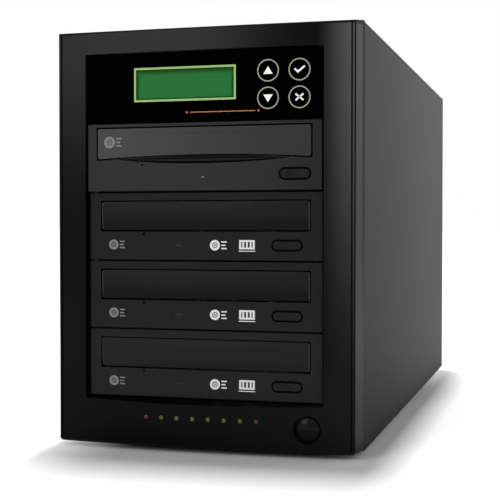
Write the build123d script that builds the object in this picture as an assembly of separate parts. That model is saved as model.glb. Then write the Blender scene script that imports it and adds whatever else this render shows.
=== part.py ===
from build123d import *
import os
from dataclasses import dataclass
from math import acos, asin, atan2, cos, degrees, pi, radians, sin, sqrt, tan

# A free-standing disc duplicator tower, in millimetres. +Z is up, the front faces -Y and +X is on the
# right of someone who looks at the front. The origin lies under the middle of the box that holds the
# whole object, on the surface that its feet stand on.

# Case: a folded steel cover over a base pan
CASE_W = 194.0
CASE_H = 256.4
CASE_D = 435.0
SHEET = 1.0
COVER_BEND_R = 1.6
COVER_LIP = 14.0
COVER_FIT = 0.1
JOINT_GAP = 0.4
BASE_FLANGE_H = 16.0
PLATE_FLANGE_D = 14.0

# Feet
FOOT_H = 4.0
FOOT_R = 8.0
FOOT_TAPER = 1.2
FOOT_INSET_X = 24.0
FOOT_INSET_Y = 32.0

# Front bezel: one moulding, bowed in plan, that flares out to the cover
BEZEL_FRONT_W = 188.0
BEZEL_SIDE = 13.4
BEZEL_BOW = 4.9
BEZEL_WALL = 2.5
BEZEL_DROP = 0.5
BEZEL_TOP_FALL = 2.5
BEZEL_TOP_EDGE = 0.8
BEZEL_BOTTOM_EDGE = 1.6
GROOVE_W = 0.8
GROOVE_DEPTH = 0.8
GROOVE_INSET = 2.0
TUNNEL_WALL = 1.6
TUNNEL_STOP = 1.0
SILL_LEAD = 4.5
SILL_FALL = 2.2
HOOK_T = 2.4
HOOK_H = 10.0
HOOK_INSET_X = 9.0
HOOK_INSET_Z = 22.0
HOOK_REACH = 4.0
HOOK_BARB = 1.0
HOOK_CLEAR = 0.4

# Bays, counted from the lowest
BAY_PITCH = 42.3
BAYS = 5
OPENING_W = 151.0
OPENING_PLAY = 0.7
SILL_RISE = 28.2
FACE_SETBACK = 11.0
READER_BAY = 3
WRITER_BAYS = (2, 1, 0)

# Drive cage
CAGE_CLEAR = 0.4
CAGE_L = 152.0
CAGE_TOP_RISE = 3.0
CAGE_FOOT_W = 12.0
CAGE_SLOT_H = 3.8
CAGE_SLOT_L = 10.0
CAGE_WINDOW_H = 20.0
CAGE_WINDOW_L = 46.0

# Drives
CAN_W = 146.0
CAN_H = 41.0
CAN_L = 170.0
CAN_WALL = 1.0
CAN_LIFT = 0.6
CAN_SETBACK = 6.0
DRIVE_BEZEL_W = 148.8
DRIVE_BEZEL_GAP = 0.8
DRIVE_BEZEL_WALL = 2.2
DRIVE_BEZEL_EDGE_R = 0.7
DOOR_GAP = 0.6
DOOR_BACK = 4.0
DOOR_CORNER_R = 1.2
WRITER_DOOR_W = 132.9
WRITER_DOOR_LOW = 18.4
WRITER_DOOR_HIGH = 36.5
WRITER_DOOR_BREAK = 26.5
WRITER_DOOR_RAKE = 1.3
READER_PROUD = 2.8
READER_DOOR_W = 135.2
READER_DOOR_LOW = 20.3
READER_DOOR_HIGH = 38.9
READER_DOOR_ARCH = 2.2
READER_SCOOP_W = 114.0
READER_SCOOP_FALL = 2.9
READER_SCOOP_DEPTH = 1.2
PINHOLE_R = 0.75
PINHOLE_X = -38.5
PINHOLE_UP = 16.4
EJECT_W = 18.7
EJECT_H = 6.4
EJECT_X = 52.5
EJECT_UP = 9.6
READER_EJECT_W = 19.3
READER_EJECT_H = 7.0
READER_EJECT_X = 57.9
READER_EJECT_UP = 10.1
EJECT_CLEAR = 0.25
EJECT_PROUD = 0.6
EJECT_FLANGE = 1.0
EJECT_STEM_W = 8.0
EJECT_STEM_H = 3.0
EJECT_TRAVEL = 0.8
EJECT_DISH_R = 30.0
EJECT_DISH = 0.45

# Disc tray with its rack
TRAY_SIDE_ROOM = 9.0
TRAY_L = 162.0
TRAY_LOW = 26.0
TRAY_T = 5.5
TRAY_TRAVEL = 132.0
DISC_R = 60.0
SMALL_DISC_R = 40.0
DISC_PLAY = 0.6
DISC_WELL = 1.6
SMALL_DISC_WELL = 0.8
DISC_SETBACK = 64.0
TRAY_SLOT_W = 38.0
TRAY_BRIDGE = 11.0
TRAY_NOTCH_R = 13.0
TRAY_RIB_W = 2.5
TRAY_RIB_INSET = 5.5
RACK_H = 4.4
RACK_BACK = 2.2
RACK_INSET = 9.4
GEAR_MODULE = 2.0
PINION_TEETH = 12
RACK_ADDENDUM = 1.35
PINION_ADDENDUM = 1.9
DEDENDUM = 2.3
BACKLASH = 0.3
PRESSURE_ANGLE = 20.0
PINION_T = 3.6
PINION_Y = 22.0
PINION_PIN_R = 2.0
PINION_BOSS_R = 4.5
RUNNING_FIT = 0.06
GAP = 0.3

# Loader frame that guides the tray
FRAME_T = 2.0
FRAME_SETBACK = 1.5
FRAME_L = 158.0
RAIL_T = 2.0
RAIL_LIP = 2.1
RAIL_LIP_T = 1.4

# Optical deck, turntable and laser sled
DECK_W = 84.0
DECK_L = 104.0
DECK_T = 1.2
DECK_LIFT = 11.0
DECK_WINDOW_W = 40.0
DECK_WINDOW_L = 58.0
DECK_BOSS_R = 3.5
DECK_BOSS_INSET = 6.0
MOTOR_R = 12.0
MOTOR_H = 5.0
SPINDLE_R = 1.5
TURNTABLE_R = 14.0
TURNTABLE_T = 1.6
TURNTABLE_HUB_R = 7.4
TURNTABLE_HUB_H = 2.6
TURNTABLE_HUB_TAPER = 1.2
GUIDE_ROD_R = 1.5
GUIDE_ROD_X = 25.0
GUIDE_ROD_UP = 4.2
GUIDE_END_T = 5.0
GUIDE_END_W = 7.0
SLED_W = 58.0
SLED_L = 24.0
SLED_H = 6.0
SLED_TRAVEL = 30.0
LENS_R = 3.5
LENS_H = 1.4

# Control panel in the top bay
PANEL_W = 149.4
PANEL_T = 3.0
PANEL_EDGE_R = 0.5
PANEL_ARM_T = 1.5
PANEL_ARM_H = 30.0
PANEL_ARM_L = 128.0
PANEL_LEDGE_W = 6.0
PANEL_LEDGE_UP = 5.0
PANEL_LEDGE_T = 1.5
LCD_X = -11.0
LCD_UP = 23.1
LCD_VIEW_W = 62.3
LCD_VIEW_H = 18.7
LCD_FRAME_W = 71.0
LCD_FRAME_H = 26.0
LCD_FRAME_T = 3.6
KEY_R = 5.75
KEY_CLEAR = 0.2
KEY_FLANGE = 0.9
KEY_FLANGE_T = 0.8
KEY_TRAVEL = 0.6
KEY_LEFT_X = 41.4
KEY_RIGHT_X = 60.6
KEY_TOP_UP = 29.2
KEY_LOW_UP = 12.9
KEY_STEM_R = 2.0
TACT_W = 6.0
TACT_T = 3.4
PANEL_BOARD_T = 1.6
PANEL_BOARD_SETBACK = 9.0
PANEL_POST_R = 2.5
CONTROLLER_W = 136.0
CONTROLLER_L = 100.0
CONTROLLER_T = 1.6
CHIP_W = 24.0
CHIP_T = 2.0
SOCKET_W = 14.0
SOCKET_D = 6.0
SOCKET_H = 8.0
SOCKETS = 5

# Lower front: status lights and power button
LED_COUNT = 8
LED_PITCH = 10.0
LED_R = 1.5
LED_CLEAR = 0.1
LED_DROP = 10.8
LED_SINK = 0.1
LED_BOARD_W = 134.0
LED_BOARD_H = 15.0
LED_BOARD_T = 1.6
LED_BOARD_X = 13.0
LED_BOARD_SETBACK = 2.6
LED_POST_R = 2.5
LED_POST_INSET = 7.0
POWER_INSET = 28.0
POWER_DROP = 14.4
POWER_R = 7.4
POWER_RING = 1.1
POWER_RING_DEPTH = 1.0
POWER_CLEAR = 0.3
POWER_DOME = 1.6
POWER_PROUD = 0.3
POWER_FLANGE = 1.2
POWER_FLANGE_T = 1.0
POWER_TRAVEL = 2.0
POWER_RINGS = 3
POWER_SWITCH_W = 9.0

# Power supply, fans and mains entry
PSU_W = 150.0
PSU_H = 86.0
PSU_D = 140.0
PSU_WALL = 1.0
PSU_INTAKES = 6
PSU_INTAKE_W = 7.5
PSU_INTAKE_H = 43.0
PSU_INTAKE_PITCH = 15.0
PSU_LIP_SIDE = 9.0
PSU_LIP_TOP = 3.0
FAN_SIZE = 80.0
FAN_DEPTH = 25.0
FAN_BORE_R = 37.8
FAN_HUB_R = 17.0
FAN_HUB_CLEAR = 1.0
FAN_BLADES = 7
FAN_BLADE_REACH = 35.6
FAN_BLADE_CHORD = 21.0
FAN_BLADE_T = 1.4
FAN_BLADE_CAMBER = 2.6
FAN_BLADE_PITCH = 36.0
FAN_MOTOR_T = 4.0
FAN_STRUT_W = 5.0
FAN_STRUTS = 4
FAN_AXLE_R = 2.0
FAN_CORNER = 2.0
FAN_SCREW_INSET = 4.0
PSU_FAN_X = -26.0
EXHAUST_UP = 172.0
GRILLE_R = 37.0
GRILLE_BAR = 2.6
GRILLE_SLOTS = 11
INLET_X = 46.0
INLET_DROP = 14.0
INLET_FLANGE_W = 30.5
INLET_FLANGE_H = 24.0
INLET_FLANGE_T = 1.6
INLET_BODY_W = 27.4
INLET_BODY_H = 20.2
INLET_BODY_D = 18.0
INLET_CAVITY_W = 24.2
INLET_CAVITY_H = 16.4
INLET_CAVITY_D = 15.0
INLET_CUT_CORNER = 4.0
INLET_CLEAR = 0.2
PIN_W = 2.0
PIN_H = 4.0
PIN_L = 13.0
PIN_PITCH = 14.0
PIN_RISE = 4.0
ROCKER_RISE = 17.0
ROCKER_FLANGE_W = 15.0
ROCKER_FLANGE_H = 21.0
ROCKER_BODY_W = 13.0
ROCKER_BODY_H = 18.6
ROCKER_BODY_D = 12.0
ROCKER_W = 9.4
ROCKER_R = 7.5
ROCKER_PIVOT_IN = 3.4
ROCKER_TILT = 8.0
ROCKER_FACE_OUT = 4.8
ROCKER_PIN_R = 1.2
ROCKER_PIN_L = 1.0
ROCKER_CLEAR = 0.4

# Fasteners
THUMB_R = 5.0
THUMB_HEAD_H = 5.0
THUMB_SHANK_R = 1.7
THUMB_SHANK_L = 6.0
SCREW_HEAD_R = 3.6
SCREW_HEAD_H = 1.8
SCREW_SHANK_R = 1.5
SCREW_SHANK_L = 5.0
SCREW_HOLE_CLEAR = 0.25
CAN_SCREW_FRONT = 48.0
CAN_SCREW_REAR = 127.0
CAN_SCREW_UP = 10.0

# Small round pieces that repeat are drawn with this many flats
FINE = 24
SMALL = 12
TINY = 8

# Planes and levels that follow from the sizes above
OVERALL_D = BEZEL_BOW + BEZEL_SIDE + CASE_D + THUMB_HEAD_H
FRONT_Y = -OVERALL_D / 2
CORNER_Y = FRONT_Y + BEZEL_BOW
JOINT_Y = CORNER_Y + BEZEL_SIDE
REAR_Y = JOINT_Y + CASE_D
PANEL_REAR_Y = REAR_Y - SHEET
PSU_REAR_Y = PANEL_REAR_Y - SHEET
FACE_Y = JOINT_Y - FACE_SETBACK
CAN_Y = FACE_Y + CAN_SETBACK
TRAY_Y = FACE_Y + DOOR_BACK
BASE_Z = FOOT_H
FLOOR_Z = BASE_Z + SHEET
TOP_Z = BASE_Z + CASE_H
BEZEL_Z = BASE_Z - BEZEL_DROP
SILL_Z = BASE_Z + SILL_RISE
OPENING_H = BAYS * BAY_PITCH + OPENING_PLAY
LINTEL_Z = SILL_Z + OPENING_H
INNER_HALF_W = CASE_W / 2 - SHEET - COVER_FIT
PITCH_R = GEAR_MODULE * PINION_TEETH / 2
TRAY_W = CAN_W - 2 * TRAY_SIDE_ROOM
RACK_PITCH_X = RACK_INSET - TRAY_W / 2
TRAY_RIB_X = TRAY_W / 2 - TRAY_RIB_INSET
POWER_X = BEZEL_FRONT_W / 2 - POWER_INSET
LED_Z = SILL_Z - LED_DROP
POWER_Z = SILL_Z - POWER_DROP
LED_BOARD_Y = JOINT_Y - LED_BOARD_SETBACK - LED_BOARD_T


@dataclass(frozen=True)
class DriveFront:
    """What differs between the fronts of the reader and of the writers."""

    proud: float
    door_w: float
    door_low: float
    door_high: float
    eject_w: float
    eject_h: float
    eject_x: float
    eject_up: float
    arch: float


READER = DriveFront(
    READER_PROUD, READER_DOOR_W, READER_DOOR_LOW, READER_DOOR_HIGH,
    READER_EJECT_W, READER_EJECT_H, READER_EJECT_X, READER_EJECT_UP, READER_DOOR_ARCH,
)
WRITER = DriveFront(
    0.0, WRITER_DOOR_W, WRITER_DOOR_LOW, WRITER_DOOR_HIGH,
    EJECT_W, EJECT_H, EJECT_X, EJECT_UP, 0.0,
)
DRIVES = [("reader", READER, READER_BAY)]
DRIVES += [(f"writer_{i + 1}", WRITER, bay) for i, bay in enumerate(WRITER_BAYS)]


# Plain shapes that many pieces share

def block(x, y, z):
    """A box between a pair of limits along each axis."""
    centre = Pos((x[0] + x[1]) / 2, (y[0] + y[1]) / 2, (z[0] + z[1]) / 2)
    return centre * Box(x[1] - x[0], y[1] - y[0], z[1] - z[0])


def both(half):
    """Limits that are the same distance to each side of the middle."""
    return (-half, half)


def around(middle, width):
    """Limits of a width centred on a value."""
    return (middle - width / 2, middle + width / 2)


def round_bar(radius, length, flats):
    """A bar along Z, centred on the origin: truly round, or with flats whose corners touch the radius."""
    if flats == 0:
        return Cylinder(radius, length)
    return Pos(0, 0, -length / 2) * extrude(RegularPolygon(radius, flats), length)


def rod_x(radius, y, z, x, flats=0):
    """A round bar along X."""
    return Pos((x[0] + x[1]) / 2, y, z) * Rot(0, 90, 0) * round_bar(radius, x[1] - x[0], flats)


def rod_y(radius, x, z, y, flats=0):
    """A round bar along Y."""
    return Pos(x, (y[0] + y[1]) / 2, z) * Rot(90, 0, 0) * round_bar(radius, y[1] - y[0], flats)


def rod_z(radius, x, y, z, flats=0):
    """A round bar along Z."""
    return Pos(x, y, (z[0] + z[1]) / 2) * round_bar(radius, z[1] - z[0], flats)


def hole_r(radius, flats):
    """Corner radius of a flat-sided hole whose flats lie at a radius."""
    return radius / cos(pi / flats)


def front_prism(sketch, y):
    """A sketch drawn in X and Z, carried along Y between two limits."""
    return extrude(Plane.XZ.offset(-y[1]) * sketch, y[1] - y[0])


def side_prism(points, x):
    """A polygon in Y and Z, carried along X between two limits."""
    face = make_face(Polyline(*points, close=True))
    return extrude(Plane.YZ.offset(x[0]) * face, x[1] - x[0])


def section_prism(points, y):
    """A polygon in X and Z, carried along Y between two limits."""
    return front_prism(make_face(Polyline(*points, close=True)), y)


def bay_floor(bay):
    """Height of the line below a bay."""
    return SILL_Z + OPENING_PLAY / 2 + bay * BAY_PITCH


def front_y(x):
    """Where the bowed face of the front bezel lies at a distance from its middle."""
    half = BEZEL_FRONT_W / 2
    radius = (half**2 + BEZEL_BOW**2) / (2 * BEZEL_BOW)
    return FRONT_Y + radius - sqrt(radius**2 - x**2)


# Case

def feet():
    """Four turned rubber feet, wider at the top."""
    x = CASE_W / 2 - FOOT_INSET_X
    y_front = JOINT_Y + FOOT_INSET_Y
    y_rear = REAR_Y - FOOT_INSET_Y
    lean = degrees(atan2(FOOT_TAPER, FOOT_H))
    foot = extrude(RegularPolygon(FOOT_R, FINE), -FOOT_H, taper=lean)
    return [Pos(sx * x, y, FOOT_H) * foot for sx in (-1, 1) for y in (y_front, y_rear)]


def chassis_base():
    """Base pan: floor with a flange up each long side and at the rear."""
    y = (JOINT_Y, PSU_REAR_Y)
    pan = block(both(INNER_HALF_W), y, (BASE_Z, FLOOR_Z))
    for side in (-1, 1):
        edge = sorted((side * INNER_HALF_W, side * (INNER_HALF_W - SHEET)))
        pan += block(edge, (JOINT_Y + PLATE_FLANGE_D + GAP, y[1]), (BASE_Z, BASE_Z + BASE_FLANGE_H))
    return pan


def front_plate():
    """Steel front of the chassis, with the bay opening, hook slots and a flange down each side."""
    z = (FLOOR_Z, TOP_Z - SHEET - COVER_FIT)
    plate = block(both(INNER_HALF_W), (JOINT_Y, JOINT_Y + SHEET), z)
    for side in (-1, 1):
        edge = sorted((side * INNER_HALF_W, side * (INNER_HALF_W - SHEET)))
        plate += block(edge, (JOINT_Y, JOINT_Y + PLATE_FLANGE_D), z)
    through = (JOINT_Y - SHEET, JOINT_Y + 2 * SHEET)
    plate -= block(both(CAN_W / 2 + CAGE_CLEAR), through, (SILL_Z, LINTEL_Z))
    for x, z_mid in hook_places():
        slot_w = HOOK_T + HOOK_BARB + 2 * HOOK_CLEAR
        middle = x + (HOOK_BARB / 2 if x > 0 else -HOOK_BARB / 2)
        plate -= block(around(middle, slot_w), through, around(z_mid, HOOK_H + 2 * HOOK_CLEAR))
    return plate


def hook_places():
    """Centres of the hooks that hold the bezel on the front plate."""
    x = OPENING_W / 2 + HOOK_INSET_X
    heights = (SILL_Z + HOOK_INSET_Z, LINTEL_Z - HOOK_INSET_Z)
    return [(side * x, z) for side in (-1, 1) for z in heights]


def cover():
    """Cover: both sides and the top in one folded sheet, with a lip turned in over the rear panel."""
    y = (JOINT_Y + JOINT_GAP, REAR_Y)
    outer = block(both(CASE_W / 2), y, (BASE_Z, TOP_Z))
    outer = fillet(outer.edges().filter_by(Axis.Y).group_by(Axis.Z)[-1], COVER_BEND_R)
    inside = (y[0] - SHEET, REAR_Y - SHEET)
    outer -= block(both(CASE_W / 2 - SHEET), inside, (BASE_Z - SHEET, TOP_Z - SHEET))
    window = block(both(CASE_W / 2 - COVER_LIP), (y[0], REAR_Y + SHEET), (BASE_Z - SHEET, TOP_Z - COVER_LIP))
    outer -= window
    for x, z in thumb_places():
        outer -= screw_hole(THUMB_SHANK_R, x, z, (REAR_Y - 2 * SHEET, REAR_Y + SHEET))
    return outer


def thumb_places():
    """Where thumb screws hold the cover's lip to the rear panel."""
    x = CASE_W / 2 - COVER_LIP / 2
    return [(-x, TOP_Z * 0.5), (x, TOP_Z * 0.5), (0.0, TOP_Z - COVER_LIP / 2)]


def screw_hole(shank_r, x, z, y):
    """What a clearance hole along Y takes out."""
    return rod_y(hole_r(shank_r + SCREW_HOLE_CLEAR, TINY), x, z, y, TINY)


def grille_slots(x, z, y):
    """Upright slots that together fill a circle."""
    pitch = 2 * GRILLE_R / GRILLE_SLOTS
    slots = []
    for i in range(GRILLE_SLOTS):
        offset = (i - (GRILLE_SLOTS - 1) / 2) * pitch
        half = sqrt(GRILLE_R**2 - offset**2)
        slots.append(block(around(x + offset, pitch - GRILLE_BAR), y, (z - half, z + half)))
    return slots


def fan_screw_offset():
    """Distance of a fan's screws from its middle, along each side."""
    return FAN_SIZE / 2 - FAN_SCREW_INSET


def psu_screw_places():
    """Where the power supply is screwed to the rear panel."""
    x = PSU_W / 2 - PSU_LIP_SIDE / 2
    z_mid = FLOOR_Z + PSU_H / 2
    z = PSU_H / 2 - PSU_LIP_SIDE
    return [(sx * x, z_mid + sz * z) for sx in (-1, 1) for sz in (-1, 1)]


def fan_screw_places():
    """Where the exhaust fan is screwed to the rear panel."""
    step = fan_screw_offset()
    return [(sx * step, EXHAUST_UP + sz * step) for sx in (-1, 1) for sz in (-1, 1)]


def rear_panel():
    """Rear panel with the power supply's cut-out, fan slots, screw holes and a flange on the base."""
    y = (PSU_REAR_Y, PANEL_REAR_Y)
    through = (y[0] - SHEET, y[1] + SHEET)
    panel = block(both(INNER_HALF_W), y, (BASE_Z, TOP_Z - SHEET - COVER_FIT))
    cut_z = (FLOOR_Z + PSU_LIP_TOP, FLOOR_Z + PSU_H - PSU_LIP_TOP)
    panel -= block(both(PSU_W / 2 - PSU_LIP_SIDE), through, cut_z)
    panel -= grille_slots(0.0, EXHAUST_UP, through)
    for x, z in psu_screw_places() + fan_screw_places():
        panel -= screw_hole(SCREW_SHANK_R, x, z, through)
    for x, z in thumb_places():
        panel -= screw_hole(THUMB_SHANK_R, x, z, through)
    return panel


def thumb_screws():
    """Round-headed thumb screws through the cover's lip."""
    screws = []
    for x, z in thumb_places():
        head = rod_y(THUMB_R, x, z, (REAR_Y, REAR_Y + THUMB_HEAD_H), FINE)
        shank = rod_y(THUMB_SHANK_R, x, z, (REAR_Y - THUMB_SHANK_L, REAR_Y), TINY)
        screws.append(head + shank)
    return screws


def hex_screw():
    """Hexagon-head screw that points along -Z from the underside of its head at the origin."""
    head = extrude(RegularPolygon(SCREW_HEAD_R, 6), SCREW_HEAD_H)
    shank = extrude(RegularPolygon(SCREW_SHANK_R, 6), -SCREW_SHANK_L)
    return head + shank


def case_screws():
    """Hexagon-head screws of the power supply, the exhaust fan and the drives."""
    screw = hex_screw()
    rear_places = psu_screw_places() + fan_screw_places()
    screws = [Pos(x, PANEL_REAR_Y, z) * Rot(-90, 0, 0) * screw for x, z in rear_places]
    outside = CAN_W / 2 + CAGE_CLEAR + SHEET
    for bay in range(BAYS):
        z = bay_floor(bay) + CAN_SCREW_UP
        rows = [CAN_SCREW_FRONT] if bay == BAYS - 1 else [CAN_SCREW_FRONT, CAN_SCREW_REAR]
        for row in rows:
            screws += [Pos(side * outside, CAN_Y + row, z) * Rot(0, side * 90, 0) * screw for side in (-1, 1)]
    return screws


def drive_cage():
    """Folded cage round all bays, with feet on the base, screw slots and lightening windows."""
    inner = CAN_W / 2 + CAGE_CLEAR
    y = (JOINT_Y + SHEET, JOINT_Y + SHEET + CAGE_L)
    top = LINTEL_Z + CAGE_TOP_RISE
    cage = block(both(inner + SHEET), y, (FLOOR_Z, top + SHEET))
    cage -= block(both(inner), (y[0] - SHEET, y[1] + SHEET), (FLOOR_Z - SHEET, top))
    for side in (-1, 1):
        foot = sorted((side * inner, side * (inner + CAGE_FOOT_W)))
        cage += block(foot, y, (FLOOR_Z, FLOOR_Z + SHEET))
    across = both(inner + 2 * SHEET)
    for bay in range(BAYS):
        z = bay_floor(bay)
        for screw_y in (CAN_Y + CAN_SCREW_FRONT, CAN_Y + CAN_SCREW_REAR):
            cage -= block(across, around(screw_y, CAGE_SLOT_L), around(z + CAN_SCREW_UP, CAGE_SLOT_H))
        middle = (CAN_Y + CAN_SCREW_FRONT + CAN_Y + CAN_SCREW_REAR) / 2
        cage -= block(across, around(middle, CAGE_WINDOW_L), around(z + BAY_PITCH / 2, CAGE_WINDOW_H))
    return cage


# Front bezel

def bezel_plan(inset):
    """Outline of the bezel seen from above, drawn in by a distance and open towards the rear."""
    half_front = BEZEL_FRONT_W / 2 - inset
    half_back = CASE_W / 2 - inset
    corner = CORNER_Y + inset
    back = JOINT_Y + inset
    bow = ThreePointArc((-half_front, corner), (0, FRONT_Y + inset), (half_front, corner))
    rest = Polyline((half_front, corner), (half_back, back), (-half_back, back), (-half_front, corner))
    return make_face([bow, rest])


def top_wedge(drop):
    """What the bezel's sloping top cuts off, lowered by a distance."""
    reach = JOINT_Y + BEZEL_SIDE
    slope = BEZEL_TOP_FALL / (JOINT_Y - FRONT_Y)
    high = TOP_Z - drop + slope * BEZEL_SIDE
    low = TOP_Z - drop - BEZEL_TOP_FALL - slope * BEZEL_SIDE
    ahead = FRONT_Y - BEZEL_SIDE
    points = [(reach, high), (ahead, low), (ahead, high + CASE_W), (reach, high + CASE_W)]
    return side_prism(points, both(CASE_W))


def front_bezel():
    """Front bezel: bowed shell with the bay tunnel, light holes, button seat, posts and hooks."""
    outer = Pos(0, 0, BEZEL_Z) * extrude(bezel_plan(0.0), TOP_Z - BEZEL_Z) - top_wedge(0.0)
    bottom = outer.edges().group_by(Axis.Z)[0].filter_by(lambda e: e.center().Y < JOINT_Y - BEZEL_WALL)
    outer = chamfer(bottom, BEZEL_BOTTOM_EDGE)
    top = TOP_Z - BEZEL_TOP_FALL - 1
    arcs = outer.edges().filter_by(lambda e: e.center().Z > top and e.center().Y < CORNER_Y)
    outer = chamfer(arcs.sort_by(Axis.Y)[0], BEZEL_TOP_EDGE)
    inner_z = BEZEL_Z + BEZEL_WALL
    inner = Pos(0, 0, inner_z) * extrude(bezel_plan(BEZEL_WALL), TOP_Z - BEZEL_WALL - inner_z)
    inner -= top_wedge(BEZEL_WALL)
    shell = outer - inner
    # Tunnel round the bays, cut off by the bowed face
    tunnel = block(
        both(OPENING_W / 2 + TUNNEL_WALL),
        (FRONT_Y - BEZEL_WALL, JOINT_Y - TUNNEL_STOP),
        (SILL_Z - TUNNEL_WALL - SILL_FALL, LINTEL_Z + TUNNEL_WALL),
    )
    shell += tunnel & outer
    shell -= block(both(OPENING_W / 2), (FRONT_Y - BEZEL_WALL, JOINT_Y + BEZEL_WALL), (SILL_Z, LINTEL_Z))
    lead_y = FRONT_Y + SILL_LEAD
    low = SILL_Z - SILL_FALL
    ahead = FRONT_Y - 1
    lip = [(lead_y, SILL_Z), (lead_y, SILL_Z + 1), (ahead, SILL_Z + 1), (ahead, low), (FRONT_Y, low)]
    shell -= side_prism(lip, both(OPENING_W / 2))
    # Twin grooves down each front corner, with a bead between them
    height = (BEZEL_Z - 1, TOP_Z + 1)
    for side in (-1, 1):
        x = side * (BEZEL_FRONT_W / 2 - GROOVE_INSET)
        shell -= block(around(x, GROOVE_W), (FRONT_Y, front_y(x) + GROOVE_DEPTH), height)
        corner = Pos(side * BEZEL_FRONT_W / 2, CORNER_Y, sum(height) / 2) * Rot(0, 0, 45)
        shell -= corner * Box(GROOVE_W, GROOVE_W, height[1] - height[0])
    for x in led_places():
        hole = hole_r(LED_R + LED_CLEAR, TINY)
        shell -= rod_y(hole, x, LED_Z, (FRONT_Y - 1, FRONT_Y + 2 * BEZEL_WALL), TINY)
    seat = front_y(POWER_X) + POWER_RING_DEPTH
    shell -= rod_y(POWER_R + POWER_RING, POWER_X, POWER_Z, (FRONT_Y - 1, seat), FINE)
    hole = hole_r(POWER_R + POWER_CLEAR, FINE)
    shell -= rod_y(hole, POWER_X, POWER_Z, (FRONT_Y - 1, FRONT_Y + 3 * BEZEL_WALL), FINE)
    for x in led_post_places():
        shell += rod_y(LED_POST_R, x, LED_Z, (front_y(x) + BEZEL_WALL / 2, LED_BOARD_Y), TINY)
    for x, z in hook_places():
        root = front_y(x) + BEZEL_WALL / 2
        tip = JOINT_Y + SHEET + HOOK_REACH
        shell += block(around(x, HOOK_T), (root, tip), around(z, HOOK_H))
        out = 1 if x > 0 else -1
        edge = x + out * HOOK_T / 2
        barb = sorted((edge, edge + out * HOOK_BARB))
        shell += block(barb, (JOINT_Y + SHEET + GAP, tip), around(z, HOOK_H))
    return shell


def led_places():
    """Positions of the status lights across the front."""
    return [(i - (LED_COUNT - 1) / 2) * LED_PITCH for i in range(LED_COUNT)]


def led_post_places():
    """Positions of the posts that carry the light board."""
    return [LED_BOARD_X - LED_BOARD_W / 2 + LED_POST_INSET, POWER_X - LED_PITCH - LED_POST_INSET]


def status_led(x):
    """One light, round from the bezel's face back to its board."""
    return rod_y(LED_R, x, LED_Z, (front_y(x) + LED_SINK, LED_BOARD_Y), TINY)


def led_board():
    """Circuit board behind the status lights, which also carries the power switch."""
    x = around(LED_BOARD_X, LED_BOARD_W)
    return block(x, (LED_BOARD_Y, LED_BOARD_Y + LED_BOARD_T), around(LED_Z - 1.0, LED_BOARD_H))


def power_button():
    """Round button with a retaining flange behind the bezel's wall, its face domed in rings."""
    length = power_flange_y() + POWER_FLANGE_T - (front_y(POWER_X) - POWER_PROUD)
    ball_r = (POWER_R**2 + POWER_DOME**2) / (2 * POWER_DOME)
    step = asin(POWER_R / ball_r) / (POWER_RINGS + 1)
    rim = length - POWER_DOME
    body = rod_z(POWER_R + POWER_FLANGE, 0, 0, (0, POWER_FLANGE_T), SMALL)
    body += rod_z(POWER_R, 0, 0, (0, rim), FINE)
    for i in range(POWER_RINGS):
        outer, inner = (step * (POWER_RINGS + 1 - i - k) for k in (0, 1))
        rise = ball_r * (cos(inner) - cos(outer))
        draw = ball_r * (sin(outer) - sin(inner)) * cos(pi / FINE)
        ring = extrude(RegularPolygon(ball_r * sin(outer), FINE), rise, taper=degrees(atan2(draw, rise)))
        body += Pos(0, 0, rim) * ring
        rim += rise
    return Pos(POWER_X, power_flange_y() + POWER_FLANGE_T, POWER_Z) * Rot(90, 0, 0) * body


def power_flange_y():
    """Front of the button's flange, just behind the bezel's wall."""
    return front_y(POWER_X + POWER_R + POWER_FLANGE) + BEZEL_WALL + GAP


def power_switch():
    """Switch block on the light board, behind the button's flange."""
    rest = power_flange_y() + POWER_FLANGE_T + GAP
    box_y = (rest + POWER_TRAVEL, LED_BOARD_Y)
    body = block(around(POWER_X, POWER_SWITCH_W), box_y, around(POWER_Z, POWER_SWITCH_W))
    return body


# Control panel

def panel_z():
    """Lowest and highest edge of the control panel."""
    z = bay_floor(BAYS - 1)
    return (z + DRIVE_BEZEL_GAP / 2, z + BAY_PITCH)


def key_places():
    """Name and centre of each key."""
    z = bay_floor(BAYS - 1)
    return {
        "key_up": (KEY_LEFT_X, z + KEY_TOP_UP),
        "key_down": (KEY_LEFT_X, z + KEY_LOW_UP),
        "key_confirm": (KEY_RIGHT_X, z + KEY_TOP_UP),
        "key_cancel": (KEY_RIGHT_X, z + KEY_LOW_UP),
    }


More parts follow.
